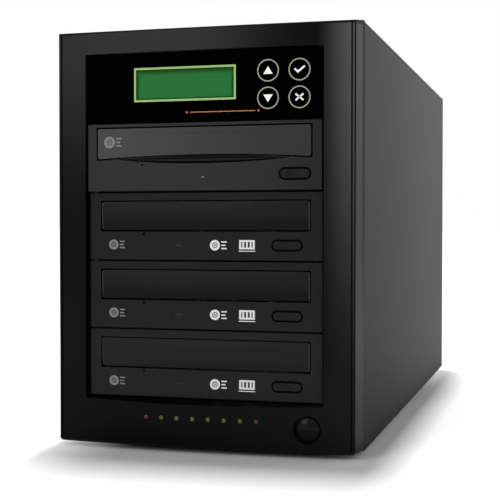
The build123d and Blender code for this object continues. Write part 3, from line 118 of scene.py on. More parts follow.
class Signal:
    """A socket of a shader graph that takes part in arithmetic."""

    def __init__(self, graph: Graph, socket: bpy.types.NodeSocket) -> None:
        """Wraps a socket of a graph."""
        self.graph = graph
        self.socket = socket

    def _math(self, operation: str, *values: Signal | float) -> Signal:
        """Adds a Math node.

        Args:
            operation: The node's operation.
            values: What its inputs take, in order.

        Returns:
            The node's result.
        """
        return self.graph.signal("ShaderNodeMath", {"operation": operation}, dict(enumerate(values)))

    def __add__(self, other: Signal | float) -> Signal:
        """This value plus another."""
        return self._math("ADD", self, other)

    def __radd__(self, other: Signal | float) -> Signal:
        """Another value plus this one."""
        return self._math("ADD", other, self)

    def __sub__(self, other: Signal | float) -> Signal:
        """This value less another."""
        return self._math("SUBTRACT", self, other)

    def __rsub__(self, other: Signal | float) -> Signal:
        """Another value less this one."""
        return self._math("SUBTRACT", other, self)

    def __mul__(self, other: Signal | float) -> Signal:
        """This value times another."""
        return self._math("MULTIPLY", self, other)

    def __rmul__(self, other: Signal | float) -> Signal:
        """Another value times this one."""
        return self._math("MULTIPLY", other, self)

    def __mod__(self, other: Signal | float) -> Signal:
        """What is left of this value after whole steps of another."""
        return self._math("MODULO", self, other)

    def __rmod__(self, other: Signal | float) -> Signal:
        """What is left of another value after whole steps of this one."""
        return self._math("MODULO", other, self)

    def __pow__(self, other: Signal | float) -> Signal:
        """This value to a power."""
        return self._math("POWER", self, other)

    def __rpow__(self, other: Signal | float) -> Signal:
        """Another value to the power of this one."""
        return self._math("POWER", other, self)

    def least(self, other: Signal | float) -> Signal:
        """The smaller of this value and another."""
        return self._math("MINIMUM", self, other)

    def most(self, other: Signal | float) -> Signal:
        """The larger of this value and another."""
        return self._math("MAXIMUM", self, other)

    def size(self) -> Signal:
        """This value without its sign."""
        return self._math("ABSOLUTE", self)

    def ramp(self, low: float, high: float) -> Signal:
        """Rises smoothly from 0 at a low value to 1 at a high one.

        Args:
            low: The value that gives 0.
            high: The value that gives 1.

        Returns:
            A value between 0 and 1.
        """
        settings = {"interpolation_type": "SMOOTHSTEP"}
        return self.graph.signal("ShaderNodeMapRange", settings, {0: self, 1: low, 2: high, 3: 0.0, 4: 1.0})


class Graph:
    """The node tree of one material or of the world."""

    def __init__(self, tree: bpy.types.NodeTree) -> None:
        """Empties a tree and takes it over."""
        self.tree = tree
        tree.nodes.clear()

    def node(
        self, kind: str, settings: dict[str, Any] | None = None, inputs: dict[int | str, Any] | None = None
    ) -> bpy.types.Node:
        """Adds any node.

        Args:
            kind: The node's type.
            settings: Its properties, set before its sockets.
            inputs: What its sockets take: numbers, colours or signals.

        Returns:
            The node.
        """
        made = self.tree.nodes.new(kind)
        for name, value in (settings or {}).items():
            setattr(made, name, value)
        for key, value in (inputs or {}).items():
            if isinstance(value, Signal):
                self.tree.links.new(value.socket, made.inputs[key])
            else:
                made.inputs[key].default_value = value
        return made

    def signal(
        self,
        kind: str,
        settings: dict[str, Any] | None = None,
        inputs: dict[int | str, Any] | None = None,
        output: int | str = 0,
    ) -> Signal:
        """Adds any node and takes one of its outputs."""
        return Signal(self, self.node(kind, settings, inputs).outputs[output])

    def point(self) -> Signal:
        """The shaded point at rest, in metres."""
        return self.signal("ShaderNodeTexCoord", output="Object")

    def place(self) -> tuple[Signal, ...]:
        """The shaded point's X, Y and Z."""
        split = self.node("ShaderNodeSeparateXYZ", {}, {0: self.point()})
        return tuple(Signal(self, axis) for axis in split.outputs)

    def backdrop_rays(self) -> Signal:
        """Tells what the camera, a gloss or a clear body sees from what lights a matt surface.

        Returns:
            1 for the first, and 0 for the second.
        """
        kinds = ("Camera", "Glossy", "Transmission")
        camera, gloss, clear = (self.signal("ShaderNodeLightPath", output=f"Is {kind} Ray") for kind in kinds)
        return camera.most(gloss).most(clear)

    def noise(self, scale: float, layers: float) -> Signal:
        """Smooth random values around 0.5, with a scale in cycles per metre and layers of finer noise."""
        inputs = {"Vector": self.point(), "Scale": scale, "Detail": layers}
        return self.signal("ShaderNodeTexNoise", {}, inputs, "Fac")

    def blend(self, share: Signal | float, first: Colour | Signal, second: Colour | Signal) -> Signal:
        """Mixes two colours, from the first at a share of 0 to the second at 1."""
        pair = [c if isinstance(c, Signal) else (*c, 1.0) for c in (first, second)]
        return self.signal("ShaderNodeMix", {"data_type": "RGBA"}, {0: share, 6: pair[0], 7: pair[1]}, 2)

    def bump(self, height: Signal, depth: float) -> Signal:
        """Turns a height from 0 to 1 into a surface normal, for a full depth in metres."""
        return self.signal("ShaderNodeBump", {}, {"Height": height, "Distance": depth, "Strength": 1.0})


Tint = Callable[[Graph], Signal]


class Axis(Enum):
    """The axes that a fade runs along, by their place in a point."""

    X = 0
    Z = 2


@dataclass(frozen=True)
class Finish:
    """How one material looks.

    Attributes:
        name: The finish in a maker's words.
        colour: Its plain colour.
        roughness: From mirror at 0 to matt at 1.
        metallic: 1 for bare metal.
        coat: Weight of a clear coat.
        specular: Specular level of the base.
        grain: Cycles in each metre of the fine texture.
        grain_depth: Depth of that texture in metres.
        wear: How much the roughness wanders.
        mottle: How much the colour wanders.
        tint: Makes the colour vary over the surface, where it does.
        coat_roughness: Roughness of the clear coat.
        mottle_spread: Values of the noise where the mottled colour is deepest and palest.
    """

    name: str
    colour: Colour
    roughness: float
    metallic: float = 0.0
    coat: float = 0.0
    specular: float = 0.5
    grain: float = 0.0
    grain_depth: float = 0.0
    wear: float = 0.0
    mottle: float = 0.0
    tint: Tint | None = None
    coat_roughness: float = 0.05
    mottle_spread: Span = (0.3, 0.7)

    def material(self) -> bpy.types.Material:
        """Makes the material, or finds the one already made.

        Returns:
            The material.
        """
        title = f"look_{self.name}"
        known = bpy.data.materials.get(title)
        if known is not None:
            return known
        made = bpy.data.materials.new(title)
        made.use_nodes = True
        made.diffuse_color = (*self.colour, 1.0)
        graph = Graph(made.node_tree)
        inputs: dict[int | str, Any] = {
            "Base Color": (*self.colour, 1.0),
            "Roughness": self.roughness,
            "Metallic": self.metallic,
            "Coat Weight": self.coat,
            "Coat Roughness": self.coat_roughness,
            "Specular IOR Level": self.specular,
        }
        if self.tint is not None:
            inputs["Base Color"] = self.tint(graph)
        elif self.mottle > 0:
            share = graph.noise(MOTTLE_SCALE, CLOUD_LAYERS).ramp(*self.mottle_spread)
            dark = tuple(c * (1 - self.mottle) for c in self.colour)
            light = tuple(c * (1 + self.mottle) for c in self.colour)
            inputs["Base Color"] = graph.blend(share, dark, light)
        if self.wear > 0:
            wander = graph.noise(WEAR_SCALE, CLOUD_LAYERS) * self.wear
            inputs["Roughness"] = wander + (self.roughness - self.wear / 2)
        if self.grain > 0:
            inputs["Normal"] = graph.bump(graph.noise(self.grain, GRAIN_LAYERS), self.grain_depth)
        surface = graph.signal("ShaderNodeBsdfPrincipled", {}, inputs)
        graph.node("ShaderNodeOutputMaterial", {}, {"Surface": surface})
        return made


@dataclass(frozen=True)
class FadeTint:
    """A colour that changes smoothly along an axis.

    Attributes:
        axis: The axis.
        span: Where the change begins and where it ends.
        first: The colour before it.
        last: The colour after it.
    """

    axis: Axis
    span: Span
    first: Colour
    last: Colour

    def __call__(self, graph: Graph) -> Signal:
        """Builds the colour in a graph."""
        return graph.blend(graph.place()[self.axis.value].ramp(*self.span), self.first, self.last)


@dataclass(frozen=True)
class FrontPaintedLight:
    """The front moulding's black, with painted sheen along its top and down its right column, and painted
    shade at its foot and in its grooves.

    Attributes:
        black: The plain colour.
        foot_shade_left: Painted shade at the left of the foot.
        foot_shade_right: Painted shade at the right of the foot, paler than at its left.
        strip_sheen: Painted sheen at the top of the left column.
        column: Painted sheen at the top of the right column.
        groove: Painted shade in the grooves, along the joint with the cover and on the top rim.
        column_sheen_least: Share of the column's painted sheen that is left at its foot.
        corner_sheen_loss: Share of it that is lost round the corner.
        groove_half: Half width of a groove of the face, where its painted shade is full and where that ends.
        corner_half: Half width of the corner's groove, likewise.
    """

    black: Colour = (0.0010, 0.0010, 0.0011)
    # Painted shade at the foot, paler to the right.
    foot_shade_left: Colour = (0.0003, 0.0003, 0.0003)
    foot_shade_right: Colour = (0.0042, 0.0038, 0.0044)
    # Painted sheen on the top of the left column and down the right column.
    strip_sheen: Colour = (0.0185, 0.0185, 0.0188)
    column: Colour = (0.082, 0.080, 0.084)
    # Painted shade in the grooves, along the joint and on the top rim.
    groove: Colour = (0.0008, 0.0008, 0.0008)
    foot_x: Span = (-60.0 * MM, 80.0 * MM)
    foot_z: Span = (32.0 * MM, 70.0 * MM)
    strip_x: Span = (-10.0 * MM, 64.0 * MM)
    strip_z: Span = (150.0 * MM, 252.0 * MM)
    column_x: Span = (70.0 * MM, 94.0 * MM)
    column_z: Span = (30.0 * MM, 270.0 * MM)
    column_sheen_least: float = 0.03
    corner_x: Span = (93.8 * MM, 94.8 * MM)
    corner_sheen_loss: float = 0.22
    groove_half: Span = (0.42 * MM, 0.60 * MM)
    corner_half: Span = (0.34 * MM, 0.50 * MM)
    joint_y: Span = (JOINT_Y - 3.2 * MM, JOINT_Y - 2.4 * MM)
    rim_z: Span = (BEZEL_RIM_Z - 0.3 * MM, BEZEL_RIM_Z)

    def __call__(self, graph: Graph) -> Signal:
        """Builds the colour with its painted sheen and shade.

        Args:
            graph: The material's graph.

        Returns:
            The colour.
        """
        x, y, z = graph.place()
        # Painted shade at the foot, then painted sheen along the top and down the right column.
        foot = graph.blend(x.ramp(*self.foot_x), self.foot_shade_left, self.foot_shade_right)
        low = graph.blend(z.ramp(*self.foot_z), foot, self.black)
        plain = graph.blend(z.ramp(*self.strip_z) * (1 - x.ramp(*self.strip_x)), low, self.strip_sheen)
        painted_rise = self.column_sheen_least + z.ramp(*self.column_z) * (1 - self.column_sheen_least)
        corner = 1 - x.ramp(*self.corner_x) * self.corner_sheen_loss
        skin = graph.blend(x.ramp(*self.column_x) * painted_rise * corner, plain, self.column)
        # Painted shade in the grooves, along the joint with the cover and on the top rim.
        face_groove_shade = 1 - (x.size() - GROOVE_X).size().ramp(*self.groove_half)
        corner_groove_shade = 1 - (x.size() - CORNER_X).size().ramp(*self.corner_half)
        edges = y.ramp(*self.joint_y).most(z.ramp(*self.rim_z))
        return graph.blend(face_groove_shade.most(corner_groove_shade).most(edges), skin, self.groove)


@dataclass(frozen=True)
class CoverPaintedLight:
    """The cover's paint, with painted shade towards its front foot, painted light towards the rear of its
    top, and a painted shadow along its front edge.

    Attributes:
        shaded_front_foot: The painted shade at the front foot.
        pale: The painted light at the rear of the top.
        edge: The painted shadow along the front edge.
        rise_share: How much of the change goes with height; the rest goes with depth.
    """

    # Painted shade, painted light, and a painted shadow along the front edge.
    shaded_front_foot: Colour = (0.004, 0.0035, 0.0045)
    pale: Colour = (0.101, 0.101, 0.102)
    edge: Colour = (0.0010, 0.0010, 0.0010)
    rise_z: Span = (-60.0 * MM, 330.0 * MM)
    rise_y: Span = (-260.0 * MM, 190.0 * MM)
    rise_share: float = 0.62
    edge_shadow_y: Span = (JOINT_Y + 0.4 * MM, JOINT_Y + 1.0 * MM)

    def __call__(self, graph: Graph) -> Signal:
        """Builds the colour with its painted light and shade.

        Args:
            graph: The material's graph.

        Returns:
            The colour.
        """
        _, y, z = graph.place()
        painted_rise = z.ramp(*self.rise_z) * self.rise_share + y.ramp(*self.rise_y) * (1 - self.rise_share)
        return graph.blend(y.ramp(*self.edge_shadow_y), self.edge, graph.blend(painted_rise, self.shaded_front_foot, self.pale))


@dataclass(frozen=True)
class WriterDoorPaintedLight:
    """A writer's door, with painted shade where it leans back and a painted highlight along its two ends.

    Attributes:
        leaning_shade: Painted shade below the line where the door leans back.
        upright: The colour above it.
        lowest: The colour of the lowest writer's door, paler by painted light.
        end: The painted highlight along the ends.
    """

    # Painted shade, painted light on the lowest door, and a painted highlight on the ends.
    leaning_shade: Colour = (0.0066, 0.0066, 0.0068)
    upright: Colour = (0.0118, 0.0118, 0.0121)
    lowest: Colour = (0.0148, 0.0148, 0.0152)
    end: Colour = (0.036, 0.036, 0.036)
    line_up: Span = (24.0 * MM, 29.0 * MM)
    lowest_z: Span = (60.0 * MM, 95.0 * MM)
    end_highlight_x: Span = (65.45 * MM, 65.75 * MM)

    def __call__(self, graph: Graph) -> Signal:
        """Builds the colour with its painted shade, light and highlight.

        Args:
            graph: The material's graph.

        Returns:
            The colour.
        """
        x, _, z = graph.place()
        up = (z - FIRST_BAY_Z) % BAY_PITCH
        upper = graph.blend(up.ramp(*self.line_up), self.leaning_shade, self.upright)
        face = graph.blend(z.ramp(*self.lowest_z), self.lowest, upper)
        return graph.blend(x.size().ramp(*self.end_highlight_x), face, self.end)


# Painted light: the reader's face and door paler at the left and darker to the right, and the lowest writer's
# front paler than the others.
READER_PAINTED_LIGHT = FadeTint(Axis.X, (20.0 * MM, 76.0 * MM), (0.0205, 0.0205, 0.0202), (0.0130, 0.0124, 0.0134))
READER_DOOR_PAINTED_LIGHT = FadeTint(Axis.X, (-60.0 * MM, 60.0 * MM), (0.053, 0.053, 0.0526), (0.0285, 0.0275, 0.0295))
WRITER_PAINTED_LIGHT = FadeTint(Axis.Z, (60.0 * MM, 95.0 * MM), (0.0168, 0.0168, 0.0172), (0.0132, 0.0132, 0.0135))


class Bezel(Enum):
    """Finishes of the front's plastics, and of the painted shade and highlight laid on them."""

    # The front's black carries a painted sheen and painted shade.
    FRONT = Finish("front_plastic", (0.003, 0.003, 0.0031), 0.30, specular=0.045, tint=FrontPaintedLight())
    BUTTON = Finish("button_plastic", (0.0050, 0.0047, 0.0051), 0.45, coat=0.07, specular=0.02)
    EJECT = Finish("reader_button_plastic", (0.0105, 0.0105, 0.0107), 0.42, specular=0.05)
    READER = Finish("reader_plastic", (0.0265, 0.0265, 0.0262), 0.42, specular=0.07, tint=READER_PAINTED_LIGHT)
    READER_DOOR = Finish(
        "reader_door_plastic", (0.048, 0.048, 0.048), 0.42, specular=0.07, tint=READER_DOOR_PAINTED_LIGHT
    )
    WRITER = Finish("writer_plastic", (0.0132, 0.0132, 0.0135), 0.46, specular=0.035, tint=WRITER_PAINTED_LIGHT)
    # The writers' doors carry painted shade and painted highlights.
    WRITER_DOOR = Finish(
        "writer_door_plastic", (0.012, 0.012, 0.012), 0.40, specular=0.04, tint=WriterDoorPaintedLight()
    )
    PANEL = Finish("panel_film", (0.0006, 0.0006, 0.0006), 0.30, specular=0.0)
    KEY = Finish("key_film", (0.0004, 0.0004, 0.0004), 0.30, specular=0.0)
    # Painted shade on the rims of the eject buttons.
    RIM = Finish("button_rim_shade", (0.0026, 0.0026, 0.0026), 0.6, specular=0.0)
    # A sheet of painted shade, laid in gaps and under the recess's lower edge.
    GAP = Finish("painted_gap_shade", (0.0004, 0.0004, 0.0004), 0.9, specular=0.0)
    # Painted shade in the reader's finger recess, with a painted highlight on its lip.
    RECESS = Finish("recess_shade", (0.0045, 0.0045, 0.0045), 0.7, specular=0.0)
    RECESS_LIP = Finish("recess_lip", (0.021, 0.021, 0.021), 0.6, specular=0.02)
    RECESS_FLOOR = Finish("recess_floor", (0.0085, 0.0085, 0.0087), 0.7, specular=0.0)


class Metal(Enum):
    """Finishes of the sheet metal and the fasteners."""

    # The cover's colour carries painted light and shade.
    COVER = Finish("cover_paint", (0.045, 0.0445, 0.046), 0.62, specular=0.03, tint=CoverPaintedLight())
    REAR = Finish("rear_paint", (0.045, 0.0445, 0.046), 0.62, specular=0.03)
    ZINC = Finish("zinc_sheet", (0.50, 0.51, 0.53), 0.34, 1.0, wear=0.12, mottle=0.08)
    DRIVE = Finish("drive_sheet", (0.56, 0.57, 0.59), 0.30, 1.0, wear=0.10, mottle=0.05)
    SCREW = Finish("bright_screw", (0.36, 0.36, 0.37), 0.32, 1.0, wear=0.06)
    BRASS = Finish("contact_metal", (0.70, 0.62, 0.42), 0.28, 1.0)
    CAST = Finish("cast_aluminium", (0.55, 0.56, 0.57), 0.42, 1.0, grain=1800.0, grain_depth=0.00004)


class Inside(Enum):
    """Finishes of what lies behind the front."""

    RUBBER = Finish("foot_rubber", (0.016, 0.016, 0.016), 0.78)
    LOADER = Finish("loader_plastic", (0.030, 0.030, 0.032), 0.5)
    TRAY = Finish("tray_plastic", (0.024, 0.024, 0.025), 0.46, grain=2200.0, grain_depth=0.00003)
    GEAR = Finish("gear_plastic", (0.78, 0.77, 0.71), 0.5)
    HUB = Finish("turntable_plastic", (0.05, 0.05, 0.052), 0.4)
    FAN = Finish("fan_plastic", (0.014, 0.014, 0.0145), 0.45)
    SWITCH = Finish("switch_plastic", (0.018, 0.018, 0.018), 0.35)
    BOARD = Finish("board_lacquer", (0.012, 0.11, 0.045), 0.32, coat=0.4)


class Mark(Enum):
    """Finishes of rings, lights and printed marks."""

    LCD_LINE = Finish("display_border", (0.330, 0.520, 0.185), 0.5, specular=0.2)
    KEY_LINE = Finish("key_ring", (0.350, 0.385, 0.225), 0.5, specular=0.1)
    WHITE = Finish("white_print", (0.95, 0.95, 0.94), 0.5, specular=0.1)
    GREY = Finish("grey_print", (0.20, 0.20, 0.20), 0.5, specular=0.1)
    PALE = Finish("pale_print", (0.72, 0.72, 0.72), 0.5, specular=0.1)
    AMBER = Finish("amber_print", (0.60, 0.20, 0.04), 0.5, specular=0.2)
    RED_LENS = Finish("red_lens", (0.068, 0.026, 0.035), 0.25, specular=0.15)
    LIME_LENS = Finish("lime_lens", (0.074, 0.083, 0.030), 0.25, specular=0.15)
    CLEAR_LENS = Finish("clear_lens", (0.086, 0.090, 0.060), 0.25, specular=0.15)
    WINDOW = Finish("lamp_window", (0.034, 0.034, 0.034), 0.4, specular=0.05)
    SPOT = Finish("lamp_spot", (0.22, 0.22, 0.21), 0.4, specular=0.05)


# Meshes


@dataclass
class Form:
    """Points and faces that become one object."""

    points: list[Point] = field(default_factory=list)
    faces: list[tuple[int, ...]] = field(default_factory=list)

    def loop(self, points: Iterable[Point]) -> Loop:
        """Adds points.

        Args:
            points: The points in order.

        Returns:
            Their numbers.
        """
        first = len(self.points)
        self.points.extend(points)
        return list(range(first, len(self.points)))

    def edge(self, outline: Outline, y: float) -> Loop:
        """Adds an outline's points at a depth, and gives their numbers."""
        return self.loop((x, y, z) for x, z in outline)

    def bridge(self, low: Loop, high: Loop) -> None:
        """Joins two closed loops of the same length with a band of faces.

        Args:
            low: Numbers of the first loop's points.
            high: Numbers of the second's.
        """
        count = len(low)
        for i in range(count):
            j = (i + 1) % count
            self.faces.append((low[i], low[j], high[j], high[i]))

    def fill(self, loop: Loop, turned: bool = False) -> None:
        """Closes a loop with one face, turned the other way round if asked."""
        self.faces.append(tuple(reversed(loop)) if turned else tuple(loop))

    def plate(self, outline: Outline, y: Span) -> None:
        """Adds a flat plate.

        Args:
            outline: Its edge in X and Z, anticlockwise seen from the front.
            y: Its front and its back.
        """
        front, back = (self.edge(outline, level) for level in y)
        self.bridge(back, front)
        self.fill(front)
        self.fill(back, True)

    def ring(self, out_front: Loop, out_back: Loop, in_front: Loop, in_back: Loop) -> None:
        """Joins the four edges of a flat ring.

        Args:
            out_front: The outer edge at the front.
            out_back: The outer edge at the back.
            in_front: The inner edge at the front.
            in_back: The inner edge at the back.
        """
        self.bridge(out_front, in_front)
        self.bridge(out_back, out_front)
        self.bridge(in_front, in_back)
        self.bridge(in_back, out_back)

    def frame(self, outer: Outline, inner: Outline, y: Span) -> None:
        """Adds a flat ring between two outlines with as many points each.

        Args:
            outer: Its outer edge in X and Z, anticlockwise seen from the front.
            inner: Its inner edge, likewise.
            y: Its front and its back.
        """
        self.ring(*(self.edge(outline, level) for outline in (outer, inner) for level in y))

    def turned(self, profile: Outline, centre: Place, segments: int = 64) -> None:
        """Adds a body turned about an axis along Y.

        Args:
            profile: Radius and Y of each corner, from the front's middle to the back's.
            centre: X and Z of the axis.
            segments: How many sides the circle has.
        """
        loops = [self.edge(circle(*centre, radius, segments), y) for radius, y in profile]
        for near, far in zip(loops, loops[1:]):
            self.bridge(far, near)
        self.fill(loops[0])
        self.fill(loops[-1], True)

    def object(self, name: str, smooth: bool = False) -> bpy.types.Object:
        """Makes the object.

        Args:
            name: Its name.
            smooth: Whether its gentle edges are shaded smooth.

        Returns:
            The object, linked to the scene.
        """
        mesh = bpy.data.meshes.new(name)
        mesh.from_pydata(self.points, [], self.faces)
        mesh.update()
        made = bpy.data.objects.new(name, mesh)
        bpy.context.scene.collection.objects.link(made)
        if smooth:
            mesh.shade_smooth()
            mesh.set_sharp_from_angle(angle=math.radians(SHARP_DEGREES))
        return made


def skin(y: float, thickness: float) -> Span:
    """Front and back of a thin layer on a plane."""
    return (y - thickness, y + thickness)


def spread(start: float, end: float, count: int) -> list[float]:
    """Evenly spaced values, with a number of steps from the start to the end."""
    return [start + (end - start) * i / count for i in range(count + 1)]


def between(xs: Sequence[float], low: Callable[[float], float], high: Callable[[float], float]) -> Outline:
    """Outline between two curves over rising values of X, anticlockwise seen from the front."""
    return [(x, low(x)) for x in xs] + [(x, high(x)) for x in reversed(xs)]


def circle(x: float, z: float, radius: float, count: int = 64) -> Outline:
    """Points round a circle, anticlockwise seen from the front."""
    angles = [2 * math.pi * i / count for i in range(count)]
    return [(x + radius * math.cos(a), z + radius * math.sin(a)) for a in angles]


def rectangle(x: float, z: float, width: float, height: float) -> Outline:
    """Corners of a rectangle about its middle, anticlockwise seen from the front."""
    a, b = width / 2, height / 2
    return [(x - a, z - b), (x + a, z - b), (x + a, z + b), (x - a, z + b)]


def pill(x: float, z: float, width: float, height: float) -> Outline:
    """Points round a slot with round ends, anticlockwise seen from the front.

    Args:
        x: The slot's middle along X.
        z: Its middle along Z.
        width: Its whole width.
        height: Its height, which is the ends' diameter.

    Returns:
        The outline.
    """
    radius, run = height / 2, (width - height) / 2
    turns = [math.radians(angle) for angle in range(-90, 91, 15)]
    right = [(x + run + radius * math.cos(a), z + radius * math.sin(a)) for a in turns]
    left = [(x - run - radius * math.cos(a), z - radius * math.sin(a)) for a in turns]
    return right + left


def attach(
    piece: bpy.types.Object,
    finish: Finish,
    body: str = CHASSIS,
    stands_for: Sequence[str] = (),
) -> None:
    """Finishes a piece and fixes it to a body.

    Args:
        piece: The object.
        finish: Its finish.
        body: The body it moves with.
        stands_for: Nodes of the frame that it replaces.
    """
    piece.data.materials.append(finish.material())
    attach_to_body(piece, body)
    if stands_for:
        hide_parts(*stands_for)
    LOG.info("piece %s on %s", piece.name, body)


def flat(
    name: str,
    y: Span,
    finish: Finish,
    body: str = CHASSIS,
    plates: Iterable[Outline] = (),
    rings: Iterable[tuple[Outline, Outline]] = (),
) -> None:
    """Adds one piece of flat plates and rings.

    Args:
        name: Its name.
        y: Its front and its back.
        finish: Its finish.
        body: The body it moves with.
        plates: Edges of the plates in X and Z.
        rings: Outer and inner edges of the rings.
    """
    form = Form()
    for outer, inner in rings:
        form.frame(outer, inner, y)
    for outline in plates:
        form.plate(outline, y)
    attach(form.object(name), finish, body)


# Sub-assemblies


@dataclass
class FrameFinishes:
    """Gives every node of the frame its finish."""

    nodes: dict[str, bpy.types.Object]
    drives: tuple[str, ...] = ("reader", "writer_1", "writer_2", "writer_3")

    def table(self) -> dict[str, Finish]:
        """Which node has which finish.

        Returns:
            The finish of each node, by its name.
        """
        plain = {
            "feet": Inside.RUBBER,
            "chassis_base": Metal.ZINC,
            "front_plate": Metal.ZINC,
            "rear_panel": Metal.REAR,
            "drive_cage": Metal.ZINC,
            "cover": Metal.COVER,
            "thumb_screws": Metal.SCREW,
            "case_screws": Metal.SCREW,
            "front_bezel": Bezel.FRONT,
            "led_board": Inside.BOARD,
            "status_leds_red": Mark.RED_LENS,
            "status_leds_green": Mark.LIME_LENS,
            "power_button": Bezel.BUTTON,
            "power_switch": Inside.SWITCH,
            "control_panel": Bezel.PANEL,
            "lcd_module": Metal.ZINC,
            "panel_board": Inside.BOARD,
            "controller_board": Inside.BOARD,
            "drive_cases": Metal.DRIVE,
            "loader_frames": Inside.LOADER,
            "optical_decks": Metal.DRIVE,
            "psu_case": Metal.ZINC,
            "fan_frames": Inside.FAN,
            "exhaust_fan_rotor": Inside.FAN,
            "psu_fan_rotor": Inside.FAN,
            "mains_entry": Inside.SWITCH,
            "inlet_pins": Metal.BRASS,
            "rocker_switch": Inside.SWITCH,
        }
        found = {name: choice.value for name, choice in plain.items()}
        found.update({key.value[0]: Bezel.KEY.value for key in Key})
        for drive in self.drives:
            front, door, button = Bezel.WRITER, Bezel.WRITER_DOOR, Bezel.WRITER
            if drive == "reader":
                front, door, button = Bezel.READER, Bezel.READER_DOOR, Bezel.EJECT
            found[f"{drive}_bezel"] = front.value
            found[f"{drive}_eject_button"] = button.value
            found[f"{drive}_tray_door"] = door.value
            found[f"{drive}_tray"] = Inside.TRAY.value
            found[f"{drive}_tray_pinion"] = Inside.GEAR.value
            found[f"{drive}_turntable"] = Inside.HUB.value
            found[f"{drive}_laser_sled"] = Metal.CAST.value
        return found

    def dress(self) -> None:
        """Assigns the finishes."""
        for name, finish in self.table().items():
            mesh = self.nodes[name].data
            mesh.materials.clear()
            mesh.materials.append(finish.material())
            LOG.info("finish %s on %s", finish.name, name)


class Key(Enum):
    """The panel's keys: node, column, row, and outlines of the sign about its middle, in millimetres."""

    UP = ("key_up", 0, 0, [[(-2.9, -2.1), (2.9, -2.1), (0.0, 2.5)]])
    DOWN = ("key_down", 0, 1, [[(2.9, 2.0), (-2.9, 2.0), (0.0, -2.6)]])
    CONFIRM = (
        "key_confirm",
        1,
        0,
        [
            [(-3.4, 0.1), (-1.0, -2.2), (-1.0, -0.7), (-2.6, 0.9)],
            [(-1.0, -2.2), (3.5, 1.4), (2.9, 2.3), (-1.0, -0.7)],
        ],
    )
    CANCEL = (
        "key_cancel",
        1,
        1,
        [
            [(-2.7, -1.5), (-2.1, -2.3), (2.7, 1.5), (2.1, 2.3)],
            [(2.1, -2.3), (2.7, -1.5), (-2.1, 2.3), (-2.7, 1.5)],
        ],
    )


